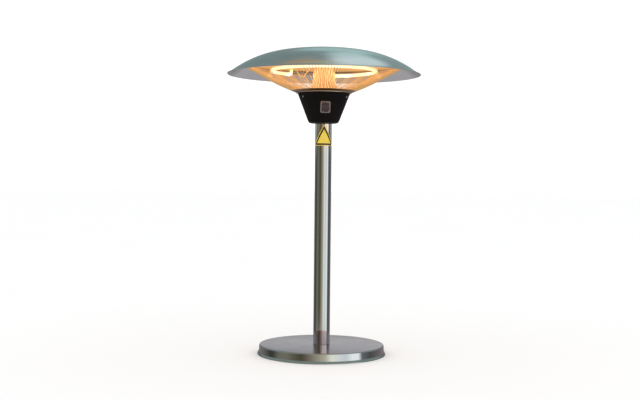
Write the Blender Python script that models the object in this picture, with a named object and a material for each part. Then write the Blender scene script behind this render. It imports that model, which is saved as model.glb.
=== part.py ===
"""Free-standing electric patio heater: a round hood with a ring-shaped heating lamp, on a short pole.

Metres, +Z up. The origin is the centre of the foot, on the ground, and -Y is the side with the switch.
Every driving size is named below; what fits to another piece takes its size from the same value.
"""

import math

import bmesh
import bpy
from mathutils import Matrix, Vector

# ---------------------------------------------------------------- clearances and sheet thicknesses
GAP = 0.0003  # between pieces that touch
RUNNING = 0.00005  # radial play of a pin in its hole
DOME_ROOM = 0.0010  # extra room under the dome, whose surface is made of flat facets
SHEET = 0.0008  # spun steel of the hood
COVER_SHEET = 0.0010  # pressed steel of the foot's cover

# ---------------------------------------------------------------- foot
FOOT_HEIGHT = 0.030
FOOT_TOP_RADIUS = 0.1906
FOOT_SKIRT_RADIUS = 0.1925
FOOT_EDGE_BEND = 0.0035
EDGE_TRIM_HEIGHT = 0.0075
EDGE_TRIM_WIDTH = 0.0036
PAD_THICKNESS = 0.0030
PAD_RADIUS = 0.1875
BALLAST_RADIUS = 0.1880
BALLAST_EDGE_BEVEL = 0.0040
BOLT_CIRCLE = 0.0150
BOLT_RADIUS = 0.0030
BOLT_HEAD_RADIUS = 0.0055
BOLT_HEAD_HEIGHT = 0.0040
POLE_FOOT_THICKNESS = 0.012

# ---------------------------------------------------------------- pole
POLE_RADIUS = 0.0254
POLE_WALL = 0.0015
GLAND_HEIGHT = 0.075  # centre of the cable inlet, at the back of the pole
GLAND_NECK_RADIUS = 0.0062
GLAND_FLANGE_RADIUS = 0.0105
GLAND_BORE_RADIUS = 0.0040
LABEL_DROP = 0.0075  # below the underside of the control housing
LABEL_HEIGHT = 0.061
LABEL_SIDE = 0.071
LABEL_THICKNESS = 0.0003
LOCK_SCREW_DROP = 0.0040  # below the underside of the control housing

# ---------------------------------------------------------------- control housing
SMALL_SCREW_RADIUS = 0.0015
HOUSING_BOTTOM = 0.7055  # sets how long the pole is
HOUSING_HEIGHT = 0.0910
HOUSING_BOTTOM_RADIUS = 0.0451  # where its sloping wall would meet the bottom
HOUSING_TOP_RADIUS = 0.0802
HOUSING_BOTTOM_ROUND = 0.0092
HOUSING_WALL = 0.0025
HOUSING_FLOOR = 0.0030
SOCKET_FLANGE_RADIUS = 0.0385
SOCKET_FLANGE_THICKNESS = 0.0030
SOCKET_DEPTH = 0.022
SOCKET_WALL = 0.0040
SOCKET_SCREW_CIRCLE = 0.0320
HOUSING_SCREW_DROP = 0.0120  # below the housing's top edge
PANEL_SCREW_RISE = 0.0230  # above the housing's underside
TOP_PLATE_THICKNESS = 0.0015
TOP_PLATE_OVERHANG = 0.0050
TOP_PLATE_SKIRT = 0.0190
TOP_PLATE_HOLE_RADIUS = 0.0150

# ---------------------------------------------------------------- switch, in the plane of its panel
SWITCH_RISE = 0.0463  # above the housing's underside
PANEL_WIDTH = 0.0335
PANEL_LENGTH = 0.0400
BEZEL_WIDTH = 0.0300
BEZEL_LENGTH = 0.0360
BEZEL_CORNER = 0.0045
BEZEL_DEPTH = 0.0032
BEZEL_WINDOW_WIDTH = 0.0225
BEZEL_WINDOW_LENGTH = 0.0290
SWITCH_BODY_WIDTH = 0.0235
SWITCH_BODY_LENGTH = 0.0285
SWITCH_BODY_DEPTH = 0.0225
ROCKER_WIDTH = 0.0185
ROCKER_RADIUS = 0.0120
ROCKER_POCKET_DEPTH = 0.0080
ROCKER_PIVOT_DEPTH = 0.0012
ROCKER_PIN_RADIUS = 0.0012
ROCKER_TILT = math.radians(10)
BOOT_THICKNESS = 0.0007
BOOT_RISE = 0.0072

# ---------------------------------------------------------------- column, reflector and hood
COLUMN_RADIUS = 0.0335
COLUMN_WAIST_RADIUS = 0.0330
COLUMN_FOOT_RADIUS = 0.0490
COLUMN_LENGTH = 0.1199
COLUMN_SCREW_CIRCLE = 0.0415
HOOD_RADIUS = 0.295
HOOD_ABOVE_COLUMN = 0.0153  # from the column's end to the top of the dome
HOOD_CROWN_RADIUS = 2.8383 * HOOD_RADIUS
HOOD_SHOULDER_RADIUS = 1.14746 * HOOD_RADIUS
HOOD_CROWN_ANGLE = math.radians(9.3)
BRIM_WIDTH = 0.0086
BRIM_DROP = 0.0050
HEM_RADIUS = 0.0011
HOOD_SCREW_CIRCLE = 0.0560
HOOD_PLATE_FLAT_RADIUS = 0.0400
HOOD_PLATE_RADIUS = 0.0640
REFLECTOR_INSET = 0.0115  # from the guard's top ring in to the reflector's edge
REFLECTOR_BULGE = 0.0050
REFLECTOR_SHEET = 0.0008

# ---------------------------------------------------------------- wire guard
GUARD_WIRES = 144
GUARD_WIRE = 0.0018
GUARD_FOOT_RADIUS = 0.0835
GUARD_KNEE_RADIUS = 0.0985
GUARD_KNEE_RISE = 0.0052
GUARD_BEND_RADIUS = 0.142
GUARD_BEND_RISE = 0.0237
GUARD_SLOPE = math.radians(28.3)
GUARD_RING_WIDTH = 0.0065

# ---------------------------------------------------------------- lamp
LAMP_RADIUS = 0.158
LAMP_TUBE_RADIUS = 0.0050
LAMP_HANG = 0.0535  # from the column's end down to the tube's centre line
LAMP_GAP_DIRECTION = math.radians(111.5)
LAMP_END_SPREAD = 0.0420
LAMP_BEND_RADIUS = 0.0080
CAP_RADIUS = 0.0060
CAP_SEAT = 0.0120  # from the tube's centre line up to the foot of its ceramic caps
CAP_ROOM = 0.00365  # above the caps, for the leads
CLIP_DIRECTIONS = (0.0, math.pi)
STRAP_THICKNESS = 0.0010
STRAP_WIDTH = 0.0070
LEAD_RADIUS = 0.0012

# ---------------------------------------------------------------- tilt switch
TILT_WIDTH = 0.0260
TILT_DEPTH = 0.0130
TILT_HEIGHT = 0.0300
TILT_WALL = 0.0020
TILT_CENTRE_Y = 0.0300
TILT_PIN_RADIUS = 0.0010
TILT_PIN_DROP = 0.0065
PENDULUM_LENGTH = 0.0165
PENDULUM_BOB_RADIUS = 0.0048

# ---------------------------------------------------------------- derived heights
COVER_UNDERSIDE = FOOT_HEIGHT - COVER_SHEET
POLE_BOTTOM = FOOT_HEIGHT + GAP
POLE_BORE = POLE_RADIUS - POLE_WALL
HOUSING_FLOOR_TOP = HOUSING_BOTTOM + HOUSING_FLOOR
HOUSING_TOP = HOUSING_BOTTOM + HOUSING_HEIGHT
PANEL_SCREW_HEIGHT = HOUSING_BOTTOM + PANEL_SCREW_RISE
SWITCH_HEIGHT = HOUSING_BOTTOM + SWITCH_RISE
LABEL_TOP = HOUSING_BOTTOM - LABEL_DROP
POLE_TOP = HOUSING_FLOOR_TOP
PLATE_BOTTOM = HOUSING_TOP + GAP
PLATE_TOP = PLATE_BOTTOM + TOP_PLATE_THICKNESS
PLATE_RADIUS = HOUSING_TOP_RADIUS + TOP_PLATE_OVERHANG
COLUMN_BOTTOM = PLATE_TOP + GAP
GUARD_BOTTOM = PLATE_TOP + GAP
COLUMN_TOP = COLUMN_BOTTOM + COLUMN_LENGTH
LAMP_HEIGHT = COLUMN_TOP - LAMP_HANG
HOOD_TOP = COLUMN_TOP + HOOD_ABOVE_COLUMN
HOUSING_SLOPE = math.atan2(HOUSING_TOP_RADIUS - HOUSING_BOTTOM_RADIUS, HOUSING_TOP - HOUSING_BOTTOM)
THIRDS = [math.radians(90 + 120 * i) for i in range(3)]
OTHER_THIRDS = [a + math.pi for a in THIRDS]


# ---------------------------------------------------------------- scene and materials
def clear_scene():
    for obj in list(bpy.data.objects):
        bpy.data.objects.remove(obj, do_unlink=True)


def material(name, colour, roughness, metallic=0.0, alpha=1.0, glow=0.0):
    found = bpy.data.materials.get(name)
    if found:
        return found
    made = bpy.data.materials.new(name)
    made.use_nodes = True
    shader = made.node_tree.nodes["Principled BSDF"]
    shader.inputs["Base Color"].default_value = (*colour, 1)
    shader.inputs["Roughness"].default_value = roughness
    shader.inputs["Metallic"].default_value = metallic
    shader.inputs["Alpha"].default_value = alpha
    shader.inputs["Emission Color"].default_value = (*colour, 1)
    shader.inputs["Emission Strength"].default_value = glow
    made.diffuse_color = (*colour, alpha)
    return made


def hood_steel():
    return material("brushed_hood_steel", (0.42, 0.50, 0.49), 0.32, 1.0)


def bright_steel():
    return material("bright_steel", (0.62, 0.62, 0.62), 0.16, 1.0)


def plain_steel():
    return material("plain_steel", (0.45, 0.45, 0.46), 0.38, 1.0)


def zinc():
    return material("zinc_plated", (0.55, 0.56, 0.58), 0.35, 1.0)


def concrete():
    return material("concrete", (0.36, 0.35, 0.33), 0.9)


def cast_aluminium():
    return material("cast_aluminium", (0.55, 0.56, 0.57), 0.5, 1.0)


def black_rubber():
    return material("black_rubber", (0.02, 0.02, 0.02), 0.85)


def black_plastic():
    return material("black_plastic", (0.018, 0.015, 0.015), 0.45)


def grey_plastic():
    return material("grey_plastic", (0.19, 0.16, 0.15), 0.5)


def red_plastic():
    return material("red_plastic", (0.45, 0.03, 0.05), 0.35)


def smoky_silicone():
    return material("smoky_silicone", (0.16, 0.12, 0.15), 0.25, 0.0, 0.5)


def ceramic():
    return material("white_ceramic", (0.80, 0.78, 0.72), 0.5)


def glowing_quartz():
    return material("glowing_quartz", (1.0, 0.72, 0.38), 0.2, 0.0, 1.0, 4.0)


def yellow_film():
    return material("yellow_film", (0.85, 0.62, 0.04), 0.4)


def fibreglass():
    return material("fibreglass_sleeve", (0.75, 0.73, 0.66), 0.8)


def brass():
    return material("brass", (0.72, 0.52, 0.22), 0.3, 1.0)


# ---------------------------------------------------------------- building blocks
def add_object(name, data, parent=None):
    obj = bpy.data.objects.new(name, data)
    bpy.context.scene.collection.objects.link(obj)
    obj.parent = parent
    return obj


def object_from(name, bm, mat, parent=None, sharp=math.radians(32)):
    """Closes a bmesh into a named, shaded object."""
    bmesh.ops.recalc_face_normals(bm, faces=bm.faces)
    mesh = bpy.data.meshes.new(name)
    bm.to_mesh(mesh)
    bm.free()
    mesh.materials.append(mat)
    mesh.shade_smooth()
    mesh.set_sharp_from_angle(angle=sharp)
    return add_object(name, mesh, parent)


def as_cutter(obj):
    obj.hide_render = True
    obj.display_type = "WIRE"
    return obj


def cut(target, cutter):
    modifier = target.modifiers.new("cut_" + cutter.name, "BOOLEAN")
    modifier.operation = "DIFFERENCE"
    modifier.object = cutter


def join(target, other):
    modifier = target.modifiers.new("join_" + other.name, "BOOLEAN")
    modifier.operation = "UNION"
    modifier.object = other


def turned(bm, profile, steps, closed):
    """Spins (radius, height) points about Z. An open profile starts and ends on the axis."""
    rings = []
    for radius, height in profile:
        if radius == 0:
            rings.append([bm.verts.new((0, 0, height))])
            continue
        angles = [2 * math.pi * i / steps for i in range(steps)]
        rings.append([bm.verts.new((radius * math.cos(a), radius * math.sin(a), height)) for a in angles])
    pairs = list(zip(rings, rings[1:]))
    if closed:
        pairs.append((rings[-1], rings[0]))
    for upper, lower in pairs:
        for i in range(steps):
            k = (i + 1) % steps
            corners = [upper[i % len(upper)], upper[k % len(upper)]]
            corners += [lower[k % len(lower)], lower[i % len(lower)]]
            bm.faces.new(list(dict.fromkeys(corners)))


def turning(name, profile, mat, steps=48, closed=True, parent=None):
    bm = bmesh.new()
    turned(bm, profile, steps, closed)
    return object_from(name, bm, mat, parent)


def arc(centre, radius, start, end, steps):
    """Points of an arc, angles in radians from the +radius direction."""
    angles = [start + (end - start) * i / steps for i in range(steps + 1)]
    return [(centre[0] + radius * math.cos(a), centre[1] + radius * math.sin(a)) for a in angles]


def outline_solid(name, outline, low, high, mat, parent=None):
    """Extrudes a flat outline in X and Y from one height to another."""
    bm = bmesh.new()
    face = bm.faces.new([bm.verts.new((x, y, low)) for x, y in outline])
    grown = bmesh.ops.extrude_face_region(bm, geom=[face])
    moved = [v for v in grown["geom"] if isinstance(v, bmesh.types.BMVert)]
    bmesh.ops.translate(bm, vec=(0, 0, high - low), verts=moved)
    return object_from(name, bm, mat, parent)


def rounded_outline(width, length, corner, steps=4):
    points = []
    quarters = ((1, 1, 0), (-1, 1, 1), (-1, -1, 2), (1, -1, 3))
    for sx, sy, quarter in quarters:
        centre = (sx * (width / 2 - corner), sy * (length / 2 - corner))
        points += arc(centre, corner, quarter * math.pi / 2, (quarter + 1) * math.pi / 2, steps)
    return points


def box(name, size, centre, mat, parent=None):
    half_x, half_y, half_z = (side / 2 for side in size)
    outline = [(-half_x, -half_y), (half_x, -half_y), (half_x, half_y), (-half_x, half_y)]
    shifted = [(x + centre[0], y + centre[1]) for x, y in outline]
    return outline_solid(name, shifted, centre[2] - half_z, centre[2] + half_z, mat, parent)


def rod_cutter(name, radius, ends, steps=16, parent=None):
    """Straight round cutters, one for each pair of ends, in one object."""
    bm = bmesh.new()
    for start, end in ends:
        along = Vector(end) - Vector(start)
        turn = along.to_track_quat("Z", "Y").to_matrix().to_4x4() @ Matrix.Rotation(math.pi / steps, 4, "Z")
        middle = Matrix.Translation((Vector(start) + Vector(end)) / 2)
        bmesh.ops.create_cone(
            bm,
            cap_ends=True,
            segments=steps,
            radius1=radius,
            radius2=radius,
            depth=along.length,
            matrix=middle @ turn,
        )
    return as_cutter(object_from(name, bm, black_plastic(), parent))


def around(radius, angle, height):
    return Vector((radius * math.cos(angle), radius * math.sin(angle), height))


def screw_mesh(name, head_radius, head_height, shank_radius, length, mat, steps=10):
    """A round-headed screw: +Z points out of its head, and the head's seat is at 0."""
    profile = [(0, head_height), (head_radius * 0.65, head_height), (head_radius, 0)]
    profile += [(shank_radius, 0), (shank_radius, -length), (0, -length)]
    bm = bmesh.new()
    turned(bm, profile, steps, False)
    bmesh.ops.recalc_face_normals(bm, faces=bm.faces)
    mesh = bpy.data.meshes.new(name)
    bm.to_mesh(mesh)
    bm.free()
    mesh.materials.append(mat)
    mesh.shade_smooth()
    mesh.set_sharp_from_angle(angle=math.radians(32))
    return mesh


def set_screw(name, mesh, seat, out):
    """Places a screw with its head's seat at a point, its head facing out."""
    screw = add_object(name, mesh)
    screw.rotation_mode = "QUATERNION"
    screw.rotation_quaternion = Vector(out).to_track_quat("Z", "Y")
    screw.location = seat
    return screw


def round_wire(name, points, radius, mat, sides_level=1):
    """A round rod along a line of points, closed at both ends."""
    curve = bpy.data.curves.new(name, "CURVE")
    curve.dimensions = "3D"
    curve.bevel_depth = radius
    curve.bevel_resolution = sides_level
    curve.use_fill_caps = True
    spline = curve.splines.new("POLY")
    spline.points.add(len(points) - 1)
    for target, point in zip(spline.points, points):
        target.co = (*point, 1)
    curve.materials.append(mat)
    return add_object(name, curve)


def smooth_route(stations, steps):
    """Points along a Catmull-Rom curve through the stations."""
    ends = [stations[0], *stations, stations[-1]]
    route = []
    for i in range(len(stations) - 1):
        a, b, c, d = (Vector(p) for p in ends[i : i + 4])
        for k in range(steps):
            t = k / steps
            bend = (2 * a - 5 * b + 4 * c - d) * t**2 + (3 * b - a - 3 * c + d) * t**3
            route.append((2 * b + (c - a) * t + bend) / 2)
    route.append(Vector(stations[-1]))
    return route


def strap(name, centreline, thickness, width, mat):
    """A flat strip bent along a line in X and Z, with its width along Y."""
    sides = ([], [])
    for i, point in enumerate(centreline):
        here = Vector(point)
        into = (here - Vector(centreline[i - 1])).normalized() if i else None
        out = (Vector(centreline[i + 1]) - here).normalized() if i + 1 < len(centreline) else None
        into = into or out
        out = out or into
        half_way = (into + out).normalized()
        reach = thickness / 2 / half_way.dot(out)
        normal = Vector((-half_way.y, half_way.x)) * reach
        sides[0].append(here + normal)
        sides[1].append(here - normal)
    bm = bmesh.new()
    outline = sides[0] + sides[1][::-1]
    front = [bm.verts.new((p.x, -width / 2, p.y)) for p in outline]
    back = [bm.verts.new((p.x, width / 2, p.y)) for p in outline]
    count = len(outline)
    half = count // 2
    for ring, flip in ((front, False), (back, True)):
        for i in range(half - 1):
            bm.faces.new([ring[i], ring[i + 1], ring[count - 2 - i], ring[count - 1 - i]])
    for i in range(count):
        k = (i + 1) % count
        bm.faces.new([front[i], front[k], back[k], back[i]])
    return object_from(name, bm, mat)


# ---------------------------------------------------------------- shapes that several pieces follow
def hood_outer_line(steps_crown=3, steps_shoulder=5):
    """The dome from its top to the brim: a wide crown arc, then a tighter shoulder arc, then the brim."""
    crown_centre = HOOD_TOP - HOOD_CROWN_RADIUS
    line = [(HOOD_CROWN_RADIUS * math.sin(a), crown_centre + HOOD_CROWN_RADIUS * math.cos(a))
            for a in (HOOD_CROWN_ANGLE * i / steps_crown for i in range(steps_crown))]
    offset = HOOD_CROWN_RADIUS - HOOD_SHOULDER_RADIUS
    centre_r = offset * math.sin(HOOD_CROWN_ANGLE)
    centre_z = crown_centre + offset * math.cos(HOOD_CROWN_ANGLE)
    end = math.asin((HOOD_RADIUS - BRIM_WIDTH - centre_r) / HOOD_SHOULDER_RADIUS)
    for i in range(steps_shoulder + 1):
        a = HOOD_CROWN_ANGLE + (end - HOOD_CROWN_ANGLE) * i / steps_shoulder
        radius = centre_r + HOOD_SHOULDER_RADIUS * math.sin(a)
        line.append((radius, centre_z + HOOD_SHOULDER_RADIUS * math.cos(a)))
    return line


def hood_height(radius):
    """Height of the dome's outer surface at a radius."""
    crown_centre = HOOD_TOP - HOOD_CROWN_RADIUS
    offset = HOOD_CROWN_RADIUS - HOOD_SHOULDER_RADIUS
    if radius < HOOD_CROWN_RADIUS * math.sin(HOOD_CROWN_ANGLE):
        return crown_centre + math.sqrt(HOOD_CROWN_RADIUS**2 - radius**2)
    inside = radius - offset * math.sin(HOOD_CROWN_ANGLE)
    centre_z = crown_centre + offset * math.cos(HOOD_CROWN_ANGLE)
    return centre_z + math.sqrt(HOOD_SHOULDER_RADIUS**2 - inside**2)


def rim_height():
    """Height of the hood's lowest edge, a brim's drop below the end of the shoulder arc."""
    return hood_height(HOOD_RADIUS - BRIM_WIDTH) - BRIM_DROP


def hood_underside(radius):
    """Height just under the dome's sheet, with the gap that a touching piece keeps."""
    steepness = (hood_height(radius - 0.001) - hood_height(radius + 0.001)) / 0.002
    return hood_height(radius) - (SHEET + DOME_ROOM) * math.hypot(1, steepness)


def housing_radius(height):
    """Outer radius of the housing's sloping wall at a height."""
    return HOUSING_TOP_RADIUS - (HOUSING_TOP - height) * math.tan(HOUSING_SLOPE)


def guard_line():
    """Centre line of the guard's wires, from the foot ring up to where they meet the dome."""
    base = GUARD_BOTTOM + GUARD_WIRE / 2
    foot = Vector((GUARD_FOOT_RADIUS, base))
    knee = Vector((GUARD_KNEE_RADIUS, base + GUARD_KNEE_RISE))
    bend = Vector((GUARD_BEND_RADIUS, base + GUARD_BEND_RISE))
    slope = Vector((1, math.tan(GUARD_SLOPE)))
    inside, outside = GUARD_BEND_RADIUS, HOOD_RADIUS - BRIM_WIDTH
    for _ in range(40):
        top = bend + slope * ((inside + outside) / 2 - GUARD_BEND_RADIUS)
        if top.y + GUARD_WIRE / 2 < hood_underside(top.x):
            inside = top.x
        else:
            outside = top.x
    ring = top - slope * GUARD_RING_WIDTH
    return foot, knee, bend, ring, top


def reflector_radius():
    return guard_line()[-1].x - REFLECTOR_INSET


def reflector_height(radius):
    """Height of the reflector's upper surface: a shallow arc from the column to the hood."""
    inner = COLUMN_RADIUS + GAP
    outer = reflector_radius()
    top = COLUMN_TOP - GAP
    edge = hood_underside(outer) - GAP
    share = (radius - inner) / (outer - inner)
    return top + (edge - top) * share + 4 * REFLECTOR_BULGE * share * (1 - share)


def lamp_cap_heights():
    """Foot and top of the ceramic caps on the lamp's ends, which fill the room under the dome."""
    return LAMP_HEIGHT + CAP_SEAT + GAP, hood_underside(LAMP_RADIUS + CAP_RADIUS) - CAP_ROOM


# ---------------------------------------------------------------- foot
def build_foot():
    lean = (FOOT_SKIRT_RADIUS - FOOT_TOP_RADIUS) / FOOT_HEIGHT
    bend_centre = (FOOT_TOP_RADIUS - FOOT_EDGE_BEND, FOOT_HEIGHT - FOOT_EDGE_BEND)
    skirt_end = EDGE_TRIM_HEIGHT * 0.45
    outer = [(0, FOOT_HEIGHT)] + arc(bend_centre, FOOT_EDGE_BEND, math.pi / 2, 0, 3)
    outer.append((FOOT_SKIRT_RADIUS - lean * skirt_end, skirt_end))
    inner = [(FOOT_SKIRT_RADIUS - lean * skirt_end - COVER_SHEET, skirt_end)]
    inner += arc(bend_centre, FOOT_EDGE_BEND - COVER_SHEET, 0, math.pi / 2, 2)
    inner.append((0, COVER_UNDERSIDE))
    cover = turning("base_cover", outer + inner, bright_steel(), 48, False)

    trim_outer = FOOT_SKIRT_RADIUS + EDGE_TRIM_WIDTH
    slot_out = FOOT_SKIRT_RADIUS + GAP
    slot_in = FOOT_SKIRT_RADIUS - lean * skirt_end - COVER_SHEET - 2 * GAP
    trim = [(slot_out, EDGE_TRIM_HEIGHT), (slot_out + 0.0012, EDGE_TRIM_HEIGHT), (trim_outer, 0)]
    trim += [(slot_in, 0), (slot_in, skirt_end - GAP), (slot_out, skirt_end - GAP)]
    turning("base_edge_trim", trim, bright_steel(), 48)

    pad_hole = BOLT_CIRCLE + BOLT_HEAD_RADIUS + 0.004
    pad = [(pad_hole, PAD_THICKNESS), (PAD_RADIUS, PAD_THICKNESS), (PAD_RADIUS, 0), (pad_hole, 0)]
    turning("base_pad", pad, black_rubber(), 48)

    low = PAD_THICKNESS + GAP
    high = COVER_UNDERSIDE - GAP
    ballast = [(0, high), (BALLAST_RADIUS - BALLAST_EDGE_BEVEL, high)]
    ballast += [(BALLAST_RADIUS, high - BALLAST_EDGE_BEVEL), (BALLAST_RADIUS, low), (0, low)]
    weight = turning("base_ballast", ballast, concrete(), 48, False)

    bolt_seat = low + BOLT_HEAD_HEIGHT + 0.001
    plug_top = POLE_BOTTOM + POLE_FOOT_THICKNESS
    plug_radius = POLE_BORE - GAP
    plug = [(0, plug_top), (plug_radius, plug_top), (plug_radius, POLE_BOTTOM), (0, POLE_BOTTOM)]
    foot_plug = turning("pole_foot_plug", plug, plain_steel(), 24, False)

    through = [(around(BOLT_CIRCLE, a, 0), around(BOLT_CIRCLE, a, plug_top + 0.01)) for a in OTHER_THIRDS]
    bolt_holes = rod_cutter("base_bolt_holes", BOLT_RADIUS + 2 * GAP, through, 8)
    recess = [(around(BOLT_CIRCLE, a, 0), around(BOLT_CIRCLE, a, bolt_seat)) for a in OTHER_THIRDS]
    head_recesses = rod_cutter("base_bolt_recesses", BOLT_HEAD_RADIUS + 3 * GAP, recess, 12)
    cut(weight, bolt_holes)
    cut(weight, head_recesses)
    cut(cover, bolt_holes)
    cut(foot_plug, bolt_holes)

    length = plug_top - bolt_seat - GAP
    mesh = screw_mesh("base_bolt", BOLT_HEAD_RADIUS, BOLT_HEAD_HEIGHT, BOLT_RADIUS, length, zinc())
    for i, a in enumerate(OTHER_THIRDS):
        set_screw(f"base_bolt_{i + 1}", mesh, around(BOLT_CIRCLE, a, bolt_seat - GAP), (0, 0, -1))


# ---------------------------------------------------------------- pole and what is on it
def build_pole():
    wall = [(POLE_BORE, POLE_TOP), (POLE_RADIUS, POLE_TOP)]
    wall += [(POLE_RADIUS, POLE_BOTTOM), (POLE_BORE, POLE_BOTTOM)]
    pole = turning("pole", wall, bright_steel(), 36)
    inlet = [((0, POLE_BORE * 0.5, GLAND_HEIGHT), (0, POLE_RADIUS * 2, GLAND_HEIGHT))]
    cut(pole, rod_cutter("pole_inlet_hole", GLAND_NECK_RADIUS + GAP, inlet, 20))


def build_gland():
    """A bush through the back of the pole. Its flanges follow the curve of the tube on both sides."""
    sides = 20
    outer_face = POLE_RADIUS + 0.0042
    inner_face = POLE_BORE - 0.0062
    stations = [
        (GLAND_BORE_RADIUS, outer_face, None),
        (GLAND_FLANGE_RADIUS - 0.0015, outer_face, None),
        (GLAND_FLANGE_RADIUS, outer_face - 0.0012, None),
        (GLAND_FLANGE_RADIUS, None, POLE_RADIUS + GAP),
        (GLAND_NECK_RADIUS, None, POLE_RADIUS + GAP),
        (GLAND_NECK_RADIUS, None, POLE_BORE - GAP),
        (GLAND_FLANGE_RADIUS - 0.0015, None, POLE_BORE - GAP),
        (GLAND_FLANGE_RADIUS - 0.0015, inner_face, None),
        (GLAND_BORE_RADIUS, inner_face, None),
    ]
    bm = bmesh.new()
    rings = []
    for radius, flat, curved in stations:
        ring = []
        for i in range(sides):
            a = 2 * math.pi * i / sides
            x = radius * math.cos(a)
            y = flat if flat is not None else math.sqrt(curved**2 - x**2)
            ring.append(bm.verts.new((x, y, GLAND_HEIGHT + radius * math.sin(a))))
        rings.append(ring)
    for ring, following in zip(rings, rings[1:] + rings[:1]):
        for i in range(sides):
            k = (i + 1) % sides
            bm.faces.new([ring[i], ring[k], following[k], following[i]])
    object_from("cable_gland", bm, black_rubber())


def build_label():
    """A blank three-cornered sticker, wrapped round the front of the pole."""
    inner = POLE_RADIUS + GAP
    rows, columns = 9, 12
    corner = 0.004
    grid = []
    for i in range(rows + 1):
        down = LABEL_HEIGHT * i / rows
        half = LABEL_SIDE / 2 * down / LABEL_HEIGHT
        half = max(half, corner * math.sin(math.pi / 2 * min(1, (i + 0.5) / 1.5)) * 0.5)
        if i == rows:
            half -= corner * 0.5
        row = []
        for k in range(columns + 1):
            a = -math.pi / 2 + (2 * k / columns - 1) * half / inner
            row.append((a, LABEL_TOP - down))
        grid.append(row)
    bm = bmesh.new()
    radii = (inner, inner + LABEL_THICKNESS)
    skins = [[[bm.verts.new(around(r, a, z)) for a, z in row] for row in grid] for r in radii]
    for skin in skins:
        for i in range(rows):
            for k in range(columns):
                corners = [skin[i][k], skin[i][k + 1], skin[i + 1][k + 1], skin[i + 1][k]]
                if k < columns / 2:
                    corners = corners[1:] + corners[:1]
                bm.faces.new((corners[0], corners[1], corners[3]))
                bm.faces.new((corners[1], corners[2], corners[3]))
    borders = []
    for skin in skins:
        edge = skin[0][:] + [row[-1] for row in skin[1:]]
        edge += skin[-1][-2::-1] + [row[0] for row in skin[-2:0:-1]]
        borders.append(edge)
    for i in range(len(borders[0])):
        k = (i + 1) % len(borders[0])
        bm.faces.new([borders[0][i], borders[0][k], borders[1][k], borders[1][i]])
    object_from("pole_label", bm, yellow_film())


# ---------------------------------------------------------------- control housing
def build_housing():
    inner_shift = HOUSING_WALL / math.cos(HOUSING_SLOPE)
    round_off = HOUSING_BOTTOM_ROUND
    start = HOUSING_BOTTOM + round_off
    corner = housing_radius(start) - round_off * 0.12
    hole = POLE_RADIUS + GAP
    outer = [(HOUSING_TOP_RADIUS, HOUSING_TOP), (housing_radius(start), start)]
    outer += arc((corner - round_off, start), round_off, math.radians(-20), math.radians(-90), 3)
    outer.append((hole, HOUSING_BOTTOM))
    inner = [(hole, HOUSING_FLOOR_TOP), (corner - round_off, HOUSING_FLOOR_TOP)]
    inner.append((housing_radius(start + 0.001) - inner_shift, start + 0.001))
    inner.append((HOUSING_TOP_RADIUS - inner_shift, HOUSING_TOP))
    housing = turning("control_housing", outer + inner, black_plastic(), 40)

    panel = panel_frame()
    depth = 0.009
    pad_size = (PANEL_WIDTH, PANEL_LENGTH, depth)
    pad = box("housing_panel", pad_size, (0, 0, -depth / 2), black_plastic(), panel)
    join(housing, as_cutter(pad))
    cavity_depth = 0.030
    opening = (SWITCH_BODY_WIDTH + 2 * GAP, SWITCH_BODY_LENGTH + 2 * GAP, cavity_depth)
    middle = (0, 0, 0.005 - cavity_depth / 2)
    relief = box("housing_panel_opening", opening, middle, black_plastic(), panel)
    cut(housing, as_cutter(relief))

    screw_height = HOUSING_TOP - HOUSING_SCREW_DROP
    rods = [(around(0.060, a, screw_height), around(0.090, a, screw_height)) for a in THIRDS]
    side_holes = rod_cutter("housing_screw_holes", SMALL_SCREW_RADIUS + GAP, rods, 8)
    cut(housing, side_holes)
    low_rod = [((0, -0.035, PANEL_SCREW_HEIGHT), (0, -0.070, PANEL_SCREW_HEIGHT))]
    cut(housing, rod_cutter("panel_screw_hole", 0.0012 + GAP, low_rod, 8))
    low, high = HOUSING_BOTTOM - 0.01, HOUSING_FLOOR_TOP + 0.02
    circle = SOCKET_SCREW_CIRCLE
    floor_rods = [(around(circle, a, low), around(circle, a, high)) for a in OTHER_THIRDS]
    floor_holes = rod_cutter("socket_screw_holes", SMALL_SCREW_RADIUS + GAP, floor_rods, 8)
    cut(housing, floor_holes)

    build_socket(floor_holes)
    build_top_plate(side_holes, inner_shift)
    build_housing_screws(screw_height)
    build_switch(panel)


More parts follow.
